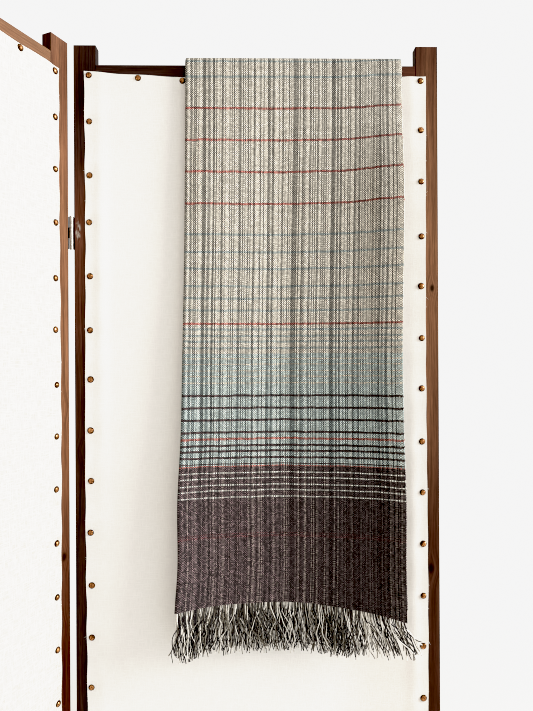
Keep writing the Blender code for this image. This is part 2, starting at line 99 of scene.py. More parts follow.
# Nails: domes in rows round each canvas
NAIL_RADIUS = 0.0056
NAIL_HEIGHT = 0.0038
NAIL_SPACING = 0.0884
NAILS_ACROSS = {"main": 7, "wing": 8}
NAIL_BOTTOM_INSET = 0.009
NAIL_SUNK = 0.0004
NAIL_BELOW_TOP = 0.0055
NAIL_SIDES = 18
NAIL_RINGS = 6

# Upright rows: height of the first nail, spacing, distance from the panel's side, and how many mm each nail
# in turn stands above its regular height
NailRow = namedtuple("NailRow", "top spacing inset above_mm")
NAIL_ROWS = {
    ("main", "hinge"): NailRow(1.668, 0.0878, 0.0266, (0, 8, 3, 10, 5, 0, 3, 3, 4, 3, 0, -2, 0)),
    ("main", "free"): NailRow(1.660, 0.0894, 0.0294, (0, 4, 4, -2, 1, 0, 2, -1, 0, 0, -1, 1, 0)),
    ("wing", "hinge"): NailRow(1.659, 0.0877, 0.0307, (0, 11, 12, 11, 6, 8, 4, 6, 6, 4, 2, 2, 0)),
    ("wing", "free"): NailRow(1.662, 0.0884, 0.0285, (0, 3, -2, 4, 1, -3, 2, 0, 3, -1, 2, 1, 0)),
}

# Throw: three layers folded from one cloth, on the shapes of the solid
CLOTH_THICKNESS = 0.0024
LAYER_GAP = 0.0009
LAYER_PITCH = CLOTH_THICKNESS + LAYER_GAP
SELVAGE_SETBACK = 0.006
INNER_FOLD_SETBACK = 0.004
FRONT_CLEARANCE = 0.004
BACK_CLEARANCE = 0.003
EDGE_CLEARANCE = 0.002
TOP_GAP = 0.0006
SHOULDER_RADIUS = 0.0073
FRONT_FACE = PANEL_FRONT - SEAT_GAP - CANVAS_THICKNESS - FRONT_CLEARANCE
BACK_FACE = PANEL_BACK + BACK_CLEARANCE
SHOULDER_TOP = TOP_RAIL_TOP + EDGE_CLEARANCE
SHOULDER_BASE = SHOULDER_TOP - SHOULDER_RADIUS
BOW_START = 0.25
BOW_CENTRE = 0.42
HEM_MIDDLE = 0.7638
HEM_LEFT_DROP = 0.0040
HEM_RIGHT_DROP = 0.0163
BACK_HEM = 0.832
RIPPLE = 0.0014
RIPPLE_WAVES = 2.6
RIPPLE_SLANT = 3.0
STEP = 0.002

# Sides of the hanging cloth by height: where they lie, and how far they bow out from its middle
Sides = namedtuple("Sides", "height left_x right_x left_bow right_bow")
FRONT_SIDES = (
    Sides(1.689, 0.1745, 0.5445, 0.000, 0.000),
    Sides(1.640, 0.1745, 0.5440, 0.001, 0.010),
    Sides(1.535, 0.1735, 0.5425, 0.004, 0.024),
    Sides(1.364, 0.1715, 0.5390, 0.006, 0.032),
    Sides(1.193, 0.1680, 0.5355, 0.012, 0.036),
    Sides(1.050, 0.1650, 0.5365, 0.018, 0.040),
    Sides(0.937, 0.1595, 0.5390, 0.024, 0.043),
    Sides(0.834, 0.1600, 0.5380, 0.029, 0.046),
    Sides(0.755, 0.1550, 0.5390, 0.033, 0.050),
    Sides(0.640, 0.1540, 0.5400, 0.036, 0.053),
)
BACK_SIDES = (
    Sides(1.689, 0.1745, 0.5445, 0.000, 0.000),
    Sides(1.500, 0.1745, 0.5440, 0.003, 0.004),
    Sides(1.200, 0.1735, 0.5430, 0.008, 0.011),
    Sides(0.840, 0.1715, 0.5440, 0.014, 0.018),
    Sides(0.740, 0.1710, 0.5445, 0.016, 0.020),
)
# Soft ridges and troughs down the front, as in the solid
Crease = namedtuple("Crease", "across half_width out top bottom")
CREASES = (
    Crease(0.08, 0.06, 0.0030, 1.675, 1.300),
    Crease(0.27, 0.09, -0.0018, 1.600, 0.950),
    Crease(0.56, 0.08, 0.0024, 1.500, 0.700),
    Crease(0.74, 0.06, -0.0020, 1.350, 0.720),
    Crease(0.90, 0.05, 0.0026, 1.670, 1.150),
)

# Mesh of the throw: columns of each layer from the inside out, and stations along it. Its faces meet in a
# sharp edge past SHARP_ANGLE, as the canvases' faces do.
SHARP_ANGLE = math.radians(60.0)
LAYER_COLUMNS = (26, 22, 84)
FOLD_SEGMENTS = 8
FRONT_STATIONS = 92
BACK_STATIONS = 64
SHOULDER_STATIONS = 12
TOP_STATIONS = 8

# Dark stripes show less of the warp: the share of its ranks kept there, about the middle rank
DARK_ZONE_RANKS = 0.40
MIDDLE_RANK = 0.42

# Weave: the distance between threads, and the throw's half length in picks. HEM_PICKS lie before the chart's
# first, and the stripes climb by SELVAGE_RISE picks towards the selvage, high up on the front.
WARP_PITCH = 0.00188
PICK = 0.001876
HEM_PICKS = 2.3
SELVAGE_RISE = 2.6
MIDDLE_PICK = 487
# The most steps and picks that one colour ramp of the chart takes
RAMP_STEPS = 28
RAMP_PICKS = 110
# Spreads the warp yarns evenly, and keeps sums of threads above 0 without changing odd and even
GOLDEN_SHARE = 0.618
EVEN = 4000.0


def linear(red, green, blue):
    """A colour given as it shows on a screen, from 0 to 255, in the renderer's own scale."""
    return tuple(((c / 255.0 + 0.055) / 1.055) ** 2.4 if c > 10 else c / 3294.6 for c in (red, green, blue))


YARNS = {
    "plum": linear(86, 73, 75),
    "wine": linear(92, 64, 66),
    "dark": linear(72, 58, 60),
    "pale_blue": linear(240, 242, 236),
    "blue": linear(195, 212, 211),
    "slate": linear(176, 190, 190),
    "beige": linear(238, 226, 206),
    "greige": linear(241, 235, 221),
    "red": linear(182, 110, 102),
}
# The ground colour from each pick up to the next row's
GROUNDS = (
    (0, "plum"),
    (127, "blue"),
    (228, "greige"),
)
# Lines on it: first pick, how many picks, yarn
LINES = (
    (62, 2, "wine"), (65, 1, "wine"), (98, 1, "pale_blue"), (104, 1, "pale_blue"), (109, 1, "pale_blue"),
    (115, 1, "pale_blue"), (120, 1, "pale_blue"), (126, 2, "red"), (128, 1, "dark"), (133, 2, "dark"),
    (139, 2, "dark"),
    (144, 2, "dark"), (150, 2, "red"), (156, 2, "dark"), (167, 2, "dark"), (178, 2, "dark"),
    (189, 2, "dark"), (201, 1, "beige"), (207, 1, "beige"), (212, 1, "beige"), (218, 1, "beige"),
    (223, 1, "beige"), (232, 2, "slate"), (238, 2, "slate"), (243, 2, "slate"), (249, 2, "slate"),
    (254, 2, "red"), (266, 2, "slate"), (277, 2, "slate"), (288, 2, "slate"), (304, 2, "slate"),
    (319, 2, "slate"), (335, 2, "slate"), (363, 2, "red"), (392, 2, "red"), (421, 2, "red"),
    (450, 2, "red"), (479, 2, "slate"),
)
# Warp yarns by rank: the share of threads up to which each reaches
WARP_RANKS = (
    (0.00, linear(10, 10, 11)),
    (0.40, linear(34, 32, 33)),
    (0.52, linear(84, 79, 74)),
    (0.62, linear(138, 131, 121)),
)


# Node building


class Value:
    """A number that a node gives out. Sums on it make further nodes."""

    def __init__(self, graph, socket):
        self.graph, self.socket = graph, socket

    def __add__(self, other):
        return self.graph.math("ADD", self, other)

    def __sub__(self, other):
        return self.graph.math("SUBTRACT", self, other)

    def __rsub__(self, other):
        return self.graph.math("SUBTRACT", other, self)

    def __mul__(self, other):
        return self.graph.math("MULTIPLY", self, other)

    def __truediv__(self, other):
        return self.graph.math("DIVIDE", self, other)

    def __mod__(self, other):
        return self.graph.math("MODULO", self, other)

    def __pow__(self, other):
        return self.graph.math("POWER", self, other)

    def __gt__(self, other):
        return self.graph.math("GREATER_THAN", self, other)

    def __abs__(self):
        return self.graph.math("ABSOLUTE", self)

    def __floor__(self):
        return self.graph.math("FLOOR", self)


class Graph:
    """The node tree of a new material or world, with short calls for the nodes that the finishes use."""

    def __init__(self, name, kind="Material"):
        collection = bpy.data.materials if kind == "Material" else bpy.data.worlds
        self.owner = collection.new(name)
        self.owner.use_nodes = True
        self.tree = self.owner.node_tree
        self.tree.nodes.clear()
        self.output = self.node(f"ShaderNodeOutput{kind}")

    def node(self, kind, **settings):
        made = self.tree.nodes.new(kind)
        for key, value in settings.items():
            setattr(made, key, value)
        return made

    def feed(self, socket, value):
        """Links a socket to a node's output, or gives it a number or a colour."""
        if isinstance(value, Value):
            value = value.socket
        if isinstance(value, bpy.types.NodeSocket):
            self.tree.links.new(value, socket)
        elif isinstance(value, tuple):
            socket.default_value = (*value, 1.0)
        elif value is not None:
            socket.default_value = value

    def fed(self, kind, values, **settings):
        """A node with its first inputs fed in order."""
        made = self.node(kind, **settings)
        for socket, value in zip(made.inputs, values):
            self.feed(socket, value)
        return made

    def math(self, operation, *values):
        return Value(self, self.fed("ShaderNodeMath", values, operation=operation).outputs[0])

    def smooth(self, value, low, high, to_low=0.0, to_high=1.0):
        """value between low and high, eased into the range from to_low to to_high."""
        values = (value, low, high, to_low, to_high)
        made = self.fed("ShaderNodeMapRange", values, interpolation_type="SMOOTHSTEP")
        return Value(self, made.outputs[0])

    def mix(self, share, a, b):
        made = self.node("ShaderNodeMix", data_type="RGBA")
        for at, value in ((0, share), (6, a), (7, b)):
            self.feed(made.inputs[at], value)
        return made.outputs[2]

    def blend(self, share, first, second):
        """Two shaders mixed."""
        return self.fed("ShaderNodeMixShader", (share, first, second)).outputs[0]

    def scaled(self, colour, factor):
        """A colour times a number."""
        made = self.fed("ShaderNodeVectorMath", (colour,), operation="SCALE")
        self.feed(made.inputs["Scale"], factor)
        return made.outputs[0]

    def length(self, vector):
        return Value(self, self.fed("ShaderNodeVectorMath", (vector,), operation="LENGTH").outputs["Value"])

    def noise(self, vector, scale, detail=2.0, roughness=0.5, dimensions="3D"):
        made = self.node("ShaderNodeTexNoise", noise_dimensions=dimensions)
        self.feed(made.inputs["W" if dimensions == "1D" else "Vector"], vector)
        for key, value in (("Scale", scale), ("Detail", detail), ("Roughness", roughness), ("Distortion", 0.0)):
            made.inputs[key].default_value = value
        return Value(self, made.outputs["Fac"])

    def scatter(self, value):
        """A repeatable uneven number from 0 to 1 for each whole value."""
        made = self.node("ShaderNodeTexWhiteNoise", noise_dimensions="1D")
        self.feed(made.inputs["W"], value)
        return Value(self, made.outputs["Value"])

    def ramp(self, value, stops, steps=False):
        """A colour ramp from (place, colour) stops."""
        made = self.fed("ShaderNodeValToRGB", (value,))
        made.color_ramp.interpolation = "CONSTANT" if steps else "LINEAR"
        elements = made.color_ramp.elements
        while len(elements) > 1:
            elements.remove(elements[-1])
        elements[0].position = stops[0][0]
        elements[0].color = (*stops[0][1], 1.0)
        for place, colour in stops[1:]:
            elements.new(place).color = (*colour, 1.0)
        return made.outputs[0]

    def split(self, vector):
        outputs = self.fed("ShaderNodeSeparateXYZ", (vector,)).outputs
        return [Value(self, outputs[i]) for i in range(3)]

    def join(self, x, y, z=0.0):
        return self.fed("ShaderNodeCombineXYZ", (x, y, z)).outputs[0]

    def uv(self, name):
        return self.node("ShaderNodeUVMap", uv_map=name).outputs[0]

    def place(self):
        """The point in the frame's own coordinates, which move with the piece."""
        return self.node("ShaderNodeTexCoord").outputs["Object"]

    def bump(self, height, distance, strength):
        made = self.node("ShaderNodeBump")
        for key, value in (("Distance", distance), ("Strength", strength), ("Height", height)):
            self.feed(made.inputs[key], value)
        return made.outputs[0]

    def principled(self, colour, roughness, normal=None, **fixed):
        """The Principled shader. fixed holds the values that are the same all over a surface."""
        made = self.node("ShaderNodeBsdfPrincipled")
        for key, value in (("Base Color", colour), ("Roughness", roughness), ("Normal", normal)):
            self.feed(made.inputs[key], value)
        for key, value in fixed.items():
            made.inputs[key.replace("_", " ")].default_value = value
        return made.outputs[0]

    def shown(self, shader):
        """The material or world, with this shader as what shows."""
        self.feed(self.output.inputs["Surface"], shader)
        return self.owner

    def surface(self, *values, **fixed):
        return self.shown(self.principled(*values, **fixed))


# The throw's shape


def sides_at(rows, height):
    """The sides of the cloth at any height, on a smooth curve through the rows, which run downwards."""
    last = len(rows) - 1
    if height >= rows[0].height:
        return rows[0]
    below = next((i for i in range(1, last + 1) if height >= rows[i].height), last)
    upper, lower = rows[below - 1], rows[below]
    before = rows[below - 2] if below > 1 else upper
    after = rows[below + 1] if below < last else lower
    span = upper.height - lower.height
    share = min(1.0, (upper.height - height) / span)
    square, cube = share ** 2, share ** 3
    values = [height]
    for k in range(1, len(upper)):
        enter = (lower[k] - before[k]) / (before.height - lower.height) * span if below > 1 else 0.0
        leave = (after[k] - upper[k]) / (upper.height - after.height) * span
        value = (2 * cube - 3 * square + 1) * upper[k] + (3 * square - 2 * cube) * lower[k]
        value += (cube - 2 * square + share) * enter + (cube - square) * leave
        values.append(value)
    return Sides(*values)


def bow(across, left, right):
    """How far the cloth stands forward at a share of its width, rising towards both sides."""
    across = min(1.0, max(0.0, across))
    if across < BOW_CENTRE:
        return left * ((BOW_CENTRE - across) / BOW_CENTRE) ** 2
    return right * ((across - BOW_CENTRE) / (1.0 - BOW_CENTRE)) ** 2


def front_hem(across):
    """Height of the front hem, lowest at its right corner."""
    left = max(0.0, (BOW_CENTRE - across) / BOW_CENTRE)
    right = max(0.0, (across - BOW_CENTRE) / (1.0 - BOW_CENTRE))
    return HEM_MIDDLE - HEM_LEFT_DROP * left ** 2 - HEM_RIGHT_DROP * right ** 2


def hem_at(side, across):
    return front_hem(across) if side == "front" else BACK_HEM


def ripple(across, height):
    """Slight unevenness of the hanging cloth, always outwards."""
    return RIPPLE * (1.0 + math.sin(across * RIPPLE_WAVES * 2.0 * math.pi + height * RIPPLE_SLANT))


def creased(across, height):
    """The soft ridges and troughs of the front, added up."""
    total = 0.0
    for crease in CREASES:
        aside = abs(across - crease.across) / crease.half_width
        along = (crease.top - height) / (crease.top - crease.bottom)
        if aside < 1.0 and 0.0 < along < 1.0:
            total += crease.out * math.cos(aside * math.pi / 2) ** 2 * math.sin(along * math.pi)
    return total


def drop_point(side, across, height):
    """A point on the innermost face of a drop, which starts straight below the rail's shoulder."""
    sides = sides_at(FRONT_SIDES if side == "front" else BACK_SIDES, height)
    ease = min(1.0, max(0.0, (SHOULDER_BASE - height) / BOW_START))
    out = bow(across, sides.left_bow, sides.right_bow) + ripple(across, height)
    out += creased(across, height) if side == "front" else 0.0
    out *= ease * ease * (3.0 - 2.0 * ease)
    x = sides.left_x + (sides.right_x - sides.left_x) * across
    y = FRONT_FACE - out if side == "front" else BACK_FACE + out
    return Vector((x, y, height))


def drop_normal(side, across, height):
    """The outward direction there, from two small steps along the surface."""
    along_x = drop_point(side, across + STEP, height) - drop_point(side, across - STEP, height)
    along_z = drop_point(side, across, height + STEP) - drop_point(side, across, height - STEP)
    normal = along_x.cross(along_z).normalized()
    return normal if side == "front" else -normal


def section_width():
    return FRONT_SIDES[0].right_x - FRONT_SIDES[0].left_x


def outer_level():
    """How far the middle of the outer layer lies from the innermost face."""
    return CLOTH_THICKNESS / 2 + 2 * LAYER_PITCH


def cloth_stations():
    """Stations from the front hem over the rail to the back hem.

    Each is a function of the share across that gives the point, the outward direction and the distance
    along the cloth from the front hem's middle.
    """
    stations = []
    left_x, right_x = FRONT_SIDES[0][1:3]
    arc = math.pi / 2 * (SHOULDER_RADIUS + outer_level())
    start_y = FRONT_FACE + SHOULDER_RADIUS
    end_y = BACK_FACE - SHOULDER_RADIUS
    front_length = SHOULDER_BASE - HEM_MIDDLE
    top_length = end_y - start_y
    back_start = front_length + 2 * arc + top_length

    def on_drop(side, share):
        def place(across):
            height = hem_at(side, across) + (SHOULDER_BASE - hem_at(side, across)) * share
            along = height - HEM_MIDDLE if side == "front" else back_start + SHOULDER_BASE - height
            return drop_point(side, across, height), drop_normal(side, across, height), along
        return place

    def on_shoulder(direction, angle):
        centre_y = (FRONT_FACE if direction < 0 else BACK_FACE) - direction * SHOULDER_RADIUS
        turned = angle / (math.pi / 2) * arc
        along = front_length + turned if direction < 0 else back_start - turned

        def place(across):
            outward = Vector((0.0, direction * math.cos(angle), math.sin(angle)))
            centre = Vector((left_x + (right_x - left_x) * across, centre_y, SHOULDER_BASE))
            return centre + outward * SHOULDER_RADIUS, outward, along
        return place

    def on_top(share):
        dip = SHOULDER_TOP - TOP_RAIL_TOP - TOP_GAP

        def place(across):
            x = left_x + (right_x - left_x) * across
            z = SHOULDER_TOP - dip * math.sin(math.pi * share) ** 2
            point = Vector((x, start_y + top_length * share, z))
            return point, Vector((0.0, 0.0, 1.0)), front_length + arc + top_length * share
        return place

    for i in range(FRONT_STATIONS):
        stations.append(on_drop("front", i / FRONT_STATIONS))
    for i in range(SHOULDER_STATIONS):
        stations.append(on_shoulder(-1, math.pi / 2 * i / SHOULDER_STATIONS))
    for i in range(TOP_STATIONS):
        stations.append(on_top(i / TOP_STATIONS))
    for i in range(SHOULDER_STATIONS):
        stations.append(on_shoulder(1, math.pi / 2 * (1.0 - i / SHOULDER_STATIONS)))
    for i in range(BACK_STATIONS + 1):
        stations.append(on_drop("back", 1.0 - i / BACK_STATIONS))
    return stations


Place = namedtuple("Place", "distance level across_dir out_dir cut")


def folded_section():
    """The section across the folded throw, on the middle of the cloth.

    Each place has its distance from the left side and from the innermost face, the direction across the
    cloth's thickness, and the distance on the flat cloth from the outer layer's selvage.
    """
    width = section_width()
    half_pitch = LAYER_PITCH / 2
    edge = half_pitch + CLOTH_THICKNESS / 2
    ends = {
        2: (width, edge),
        1: (edge, width - INNER_FOLD_SETBACK - edge),
        0: (width - INNER_FOLD_SETBACK - edge, SELVAGE_SETBACK),
    }
    places = []
    cut = 0.0
    for layer in (2, 1, 0):
        start, end = ends[layer]
        level = CLOTH_THICKNESS / 2 + layer * LAYER_PITCH
        towards = 1.0 if end > start else -1.0
        for i in range(LAYER_COLUMNS[layer] + 1):
            share = i / LAYER_COLUMNS[layer]
            distance = start + (end - start) * share
            places.append(Place(distance, level, 0.0, -towards, cut + abs(end - start) * share))
        cut += abs(end - start)
        if layer == 0:
            break
        for i in range(1, FOLD_SEGMENTS):
            turn = math.pi * i / FOLD_SEGMENTS
            aside, out = towards * math.sin(turn), math.cos(turn)
            places.append(
                Place(
                    end + half_pitch * aside,
                    level - half_pitch + half_pitch * out,
                    -towards * aside,
                    -towards * out,
                    cut + half_pitch * turn,
                )
            )
        cut += half_pitch * math.pi
    return places


def object_in_scene(name, data):
    made = bpy.data.objects.new(name, data)
    bpy.context.scene.collection.objects.link(made)
    return made


def object_from(name, bm, material, body):
    """A smooth mesh object that rides on a body."""
    mesh = bpy.data.meshes.new(name)
    bm.to_mesh(mesh)
    bm.free()
    mesh.materials.append(material)
    mesh.shade_smooth()
    piece = object_in_scene(name, mesh)
    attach(piece, body)
    return piece


def closed_sheet(name, grid, bm, uv, material, body, node):
    """A thin sheet in the place of a solid, closed all round.

    grid has a row of pairs for each station along it. A pair is the vertex on one face and the one on the
    other, each with its place on the flat cloth.
    """
    def quad(*corners):
        face = bm.faces.new([vert for vert, _ in corners])
        for loop, (_, flat) in zip(face.loops, corners):
            loop[uv].uv = flat

    for low, high in zip(grid, grid[1:]):
        for a, b, c, d in zip(low, low[1:], high[1:], high):
            quad(a[0], b[0], c[0], d[0])
            quad(a[1], d[1], c[1], b[1])
        quad(low[0][0], high[0][0], high[0][1], low[0][1])
        quad(low[-1][0], low[-1][1], high[-1][1], high[-1][0])
    for a, b in zip(grid[0], grid[0][1:]):
        quad(a[0], a[1], b[1], b[0])
    for a, b in zip(grid[-1], grid[-1][1:]):
        quad(a[0], b[0], b[1], a[1])
    bmesh.ops.recalc_face_normals(bm, faces=bm.faces)
    piece = object_from(name, bm, material, body)
    piece.data.set_sharp_from_angle(angle=SHARP_ANGLE)
    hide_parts(node)
    return piece


def throw_cloth(material):
    """The folded cloth as a thin closed sheet, with the flat cloth's distances kept as its UV map."""
    width = section_width()
    section = folded_section()
    bm = bmesh.new()
    uv = bm.loops.layers.uv.new("cloth")
    grid = []
    for station in cloth_stations():
        row = []
        for place in section:
            pair = []
            for half in (CLOTH_THICKNESS / 2, -CLOTH_THICKNESS / 2):
                point, outward, along = station((place.distance + place.across_dir * half) / width)
                vert = bm.verts.new(point + outward * (place.level + place.out_dir * half))
                pair.append((vert, (place.cut, along)))
            row.append(pair)
        grid.append(row)
    piece = closed_sheet("throw_weave", grid, bm, uv, material, MAIN, "throw_cloth")
    return piece, section[-1].cut


# The throw's weave


def stripe_stops():
    """The weft yarn from each pick on, as (first pick, yarn), from hem to middle."""
    changes = {}
    for first, yarn in GROUNDS:
        changes[first] = yarn
    for first, picks, yarn in LINES:
        ground = [name for start, name in GROUNDS if start <= first + picks][-1]
        changes[first] = yarn
        changes.setdefault(first + picks, ground)
    return sorted(changes.items())


def stripe_colour(graph, pick):
    """The weft yarn of a pick counted from the nearer hem, by as many colour ramps as its steps need."""
    stops = stripe_stops()
    parts = [[stops[0]]]
    for stop in stops[1:]:
        if len(parts[-1]) == RAMP_STEPS or stop[0] - parts[-1][0][0] > RAMP_PICKS:
            parts.append([stop])
        else:
            parts[-1].append(stop)
    colour = None
    for part in parts:
        start, length = part[0][0], part[-1][0] - part[0][0] + 1.0
        steps = [((at - start) / length, YARNS[yarn]) for at, yarn in part]
        ramp = graph.ramp((pick - (start - 0.5)) / length, steps, steps=True)
        colour = ramp if colour is None else graph.mix(pick > start - 0.5, colour, ramp)
    return colour


def nearer_hem(pick):
    """A pick counted from the front hem, counted from the nearer hem."""
    return math.floor(MIDDLE_PICK - abs(pick - (MIDDLE_PICK - 0.5)))


def warp_rank(graph, thread):
    """Where each warp thread stands from the darkest to the lightest yarn: roughly dark, light, dark, light."""
    alone = graph.math("FRACT", thread * GOLDEN_SHARE + graph.scatter(thread + 17.0) * 0.5)
    broad = graph.noise(thread * 0.13, 1.0, 1.0, dimensions="1D")
    turn = (thread + math.floor(broad * 9.0) + EVEN) % 2.0
    return alone * 0.40 + turn * 0.52 + graph.smooth(broad, 0.28, 0.72) * 0.08


def weave_material():
    """Plain weave thread by thread: streaked warp, striped weft, rounded threads with painted shade in their gaps
    and painted highlight on their crowns, painted sheen and shade across the dark stripes, and a dry woollen
    finish.
    """
    graph = Graph("woven_throw")
    flat = graph.uv("cloth")
    across, along, _ = graph.split(flat)

    # The threads, which stray a little, and the stripes' rise towards the selvage
    skew = graph.smooth(across, 0.12, 0.0) * graph.smooth(along, 0.45, 0.85)
    x = across / WARP_PITCH + graph.noise(graph.join(across, along * 0.10, 3.0), 55.0) * 0.9
    y = along / PICK + graph.noise(flat, 38.0) * 1.5 + (HEM_PICKS - 0.75) - skew * SELVAGE_RISE
    thread, pick = math.floor(x), math.floor(y)
    from_thread, from_pick = x - thread - 0.5, y - pick - 0.5
    round_off = (from_thread / 0.55) ** 2.0 + (from_pick / 0.75) ** 2.0
    warp_over = (thread + pick + EVEN) % 2.0 > 0.5
    dot = warp_over * graph.smooth(round_off, 1.2, 0.8)

    # Weft, which shows through more where it is pale and where the warp over it is light
    weft = stripe_colour(graph, nearer_hem(pick))
    pale = graph.smooth(graph.split(weft)[1], 0.03, 0.30)
    rank = warp_rank(graph, thread) + graph.smooth(across, 0.008, 0.002, 0.0, 0.45) - MIDDLE_RANK
    rank = rank * (pale * (1.0 - DARK_ZONE_RANKS) + DARK_ZONE_RANKS) + MIDDLE_RANK
    # Painted sheen and painted shade: the dark stripes lighter towards the left and darker towards the right
    # selvage
    wear_and_painted_light = graph.smooth(across, 0.03, 0.34, 0.64, 1.62)
    weft = graph.scaled(weft, (1.0 - wear_and_painted_light) * pale + wear_and_painted_light)
    weft = graph.scaled(weft, graph.scatter(pick + 211.0) * 0.16 + 0.92)
    weft = graph.scaled(weft, graph.smooth(rank, 0.12, 0.74, 0.29, 1.04))
    warp = graph.mix(0.14, graph.ramp(rank, WARP_RANKS, steps=True), weft)
    warp = graph.scaled(warp, graph.smooth(pale, 0.0, 1.0, 0.55, 1.04))

    # Each crossing a little lighter or darker, more so in the dark stripes
    spot = graph.scatter(thread * 71.0 + pick) - 0.5
    warp = graph.scaled(warp, spot * graph.smooth(pale, 0.0, 1.0, 1.6, 0.8) + 0.95)
    weft = graph.scaled(weft, spot * graph.smooth(pale, 0.0, 1.0, 1.6, 0.7) + 1.0)
    heather = graph.noise(graph.join(x, y * 0.5), 1.7, 3.0, 0.7)
    colour = graph.scaled(graph.mix(dot, weft, warp), graph.smooth(heather, 0.2, 0.8, 0.72, 1.28))
    # A little lighter near the left fold and darker towards the right selvage, most high up where the stripes
    # rise
    tone_across_width = graph.smooth(across, 0.33, 0.37, 1.0, 1.07) - skew * 0.06 - graph.smooth(across, 0.20, 0.05) * 0.13
    colour = graph.scaled(colour, tone_across_width)

    # Rounded threads: painted shade in the gaps and painted highlight on the crowns
    height = (1.0 - (from_pick * 1.9) ** 2.0) * (1.0 - dot) + (1.25 - round_off) * dot
    gap_painted_shade, crown_painted_highlight = graph.smooth(pale, 0.0, 1.0, 0.10, 0.60), graph.smooth(pale, 0.0, 1.0, 1.40, 1.02)
    colour = graph.scaled(colour, graph.smooth(height, 0.0, 0.9, gap_painted_shade, crown_painted_highlight))
    return graph.surface(colour, 0.62, graph.bump(height, 0.0006, 0.5), Specular_IOR_Level=0.32)


def weft_material():
    """The weft yarn alone, for the loops at the selvage."""
    graph = Graph("weft_yarn")
    _, along, _ = graph.split(graph.uv("cloth"))
    colour = stripe_colour(graph, nearer_hem(math.floor(along / PICK + HEM_PICKS)))
    fibre = graph.noise(graph.place(), 1500.0, 2.0, 0.6)
    colour = graph.scaled(colour, graph.smooth(fibre, 0.25, 0.75, 0.7, 1.15))
    return graph.surface(colour, 0.92, graph.bump(fibre, 0.0004, 0.5), Specular_IOR_Level=0.18)


# Tubes of yarn


def tube(bm, points, radius, sides, uv, colour_layer=None, colour=None, flat=None, taper=1.0):
    """A closed tube along the points. Its UV map holds the turn round it and the distance along it, or flat."""
    rings = []
    along = 0.0
    last = len(points) - 1
    for i, point in enumerate(points):
        if i:
            along += (point - points[i - 1]).length
        ahead = (points[min(i + 1, last)] - points[max(i - 1, 0)]).normalized()
        first = ahead.cross(Vector((0.0, 1.0, 0.0)))
        first = first.normalized() if first.length > 1e-4 else ahead.orthogonal().normalized()
        second = ahead.cross(first)
        size = radius * (1.0 + (taper - 1.0) * i / last)
        turns = [2.0 * math.pi * k / sides for k in range(sides)]
        ring = [bm.verts.new(point + (first * math.cos(turn) + second * math.sin(turn)) * size) for turn in turns]
        rings.append((ring, along))

    def face(corners, places):
        for loop, place in zip(bm.faces.new(corners).loops, places):
            loop[uv].uv = flat if flat else place
            if colour_layer is not None:
                loop[colour_layer] = colour

    for (low, low_along), (high, high_along) in zip(rings, rings[1:]):
        for k in range(sides):
            following, start, end = (k + 1) % sides, k / sides, (k + 1) / sides
            places = ((start, low_along), (end, low_along), (end, high_along), (start, high_along))
            face((low[k], low[following], high[following], high[k]), places)
    for ring in (rings[0][0][::-1], rings[-1][0]):
        face(ring, [(0.0, 0.0)] * sides)


# Fringe

Side = namedtuple("Side", "name node strands_of_layers length seed flare")
FRONT_FRINGE = Side("front", "fringe_front", (90, 150, 470), 0.079, 11, 0.009)
BACK_FRINGE = Side("back", "fringe_back", (70, 90, 230), 0.076, 12, 0.006)
STRAND_RADIUS = (0.00060, 0.00105)
STRAND_SIDES = 5
STRAND_POINTS = 16
STRANDS_OF_LOCK = 5
TWIST = 420.0
ROOT_OVERLAP = 0.004
SPLAY_LEFT = 0.28
SPLAY_RIGHT = 0.42
SPLAY_SHARE = 0.30
THINNED = 0.55
# Ends at the front's right corner that curve out over the post: place across, length, lean, sweep, yarn
SWEPT_ENDS = ((0.984, 0.050, 0.05, 0.80, 0.1), (0.990, 0.046, -0.05, 0.95, 0.4))
# Towards the fringe's middle there is less light yarn and more shade
MIDDLE_LIGHT_LOSS = 0.14
MIDDLE_SHADE = 0.20
FRINGE_YARNS = (
    (0.25, linear(236, 232, 224)),
    (0.55, linear(40, 37, 39)),
    (0.73, linear(66, 63, 62)),
    (0.90, linear(106, 100, 90)),
    (1.00, linear(152, 147, 136)),
)


def splay(across):
    """The lean of the strands near the corners, in radians."""
    left = max(0.0, 1.0 - across / SPLAY_SHARE)
    right = max(0.0, 1.0 - (1.0 - across) / SPLAY_SHARE)
    return SPLAY_RIGHT * right - SPLAY_LEFT * left


def strand_points(side, across, level, length, lean, sweep, draw):
    """One loose warp end: it leans with its lock, curls in its own way and hangs down or sweeps aside."""
    width = section_width()
    lean += 0.12 * math.sin(across * 21.0 + 1.0)
    lean += splay(across) if side.name == "front" else 0.0
    curl, turns, phase = draw.uniform(0.08, 0.55), draw.uniform(0.5, 1.6), draw.uniform(0.0, 2.0 * math.pi)
    crimp, crimp_phase = draw.uniform(0.02, 0.18), draw.uniform(0.0, 2.0 * math.pi)
    out_lean, out_curl = draw.normal(0.03, 0.06), draw.uniform(0.0, 0.22)
    step = length / (STRAND_POINTS - 1)
    aside, drop, outward = 0.0, -ROOT_OVERLAP, 0.0
    points = []
    for i in range(STRAND_POINTS):
        share = i / (STRAND_POINTS - 1)
        hem = hem_at(side.name, across)
        here = across + aside / width
        point = drop_point(side.name, here, hem - drop)
        normal = drop_normal(side.name, across, hem - max(0.0, drop))
        points.append(point + normal * (level + max(0.0, outward) + side.flare * share ** 2))
        ease = min(1.0, share * 3.0)
        angle = ease * (lean + curl * math.sin(phase + turns * 2.0 * math.pi * share)) + sweep * share
        angle += ease * crimp * math.sin(crimp_phase + 19.0 * share)
        aside += step * math.sin(angle)
        drop += step * math.cos(angle)
        outward += step * ease * (out_lean + out_curl * math.sin(phase + 8.0 * share))
    return points


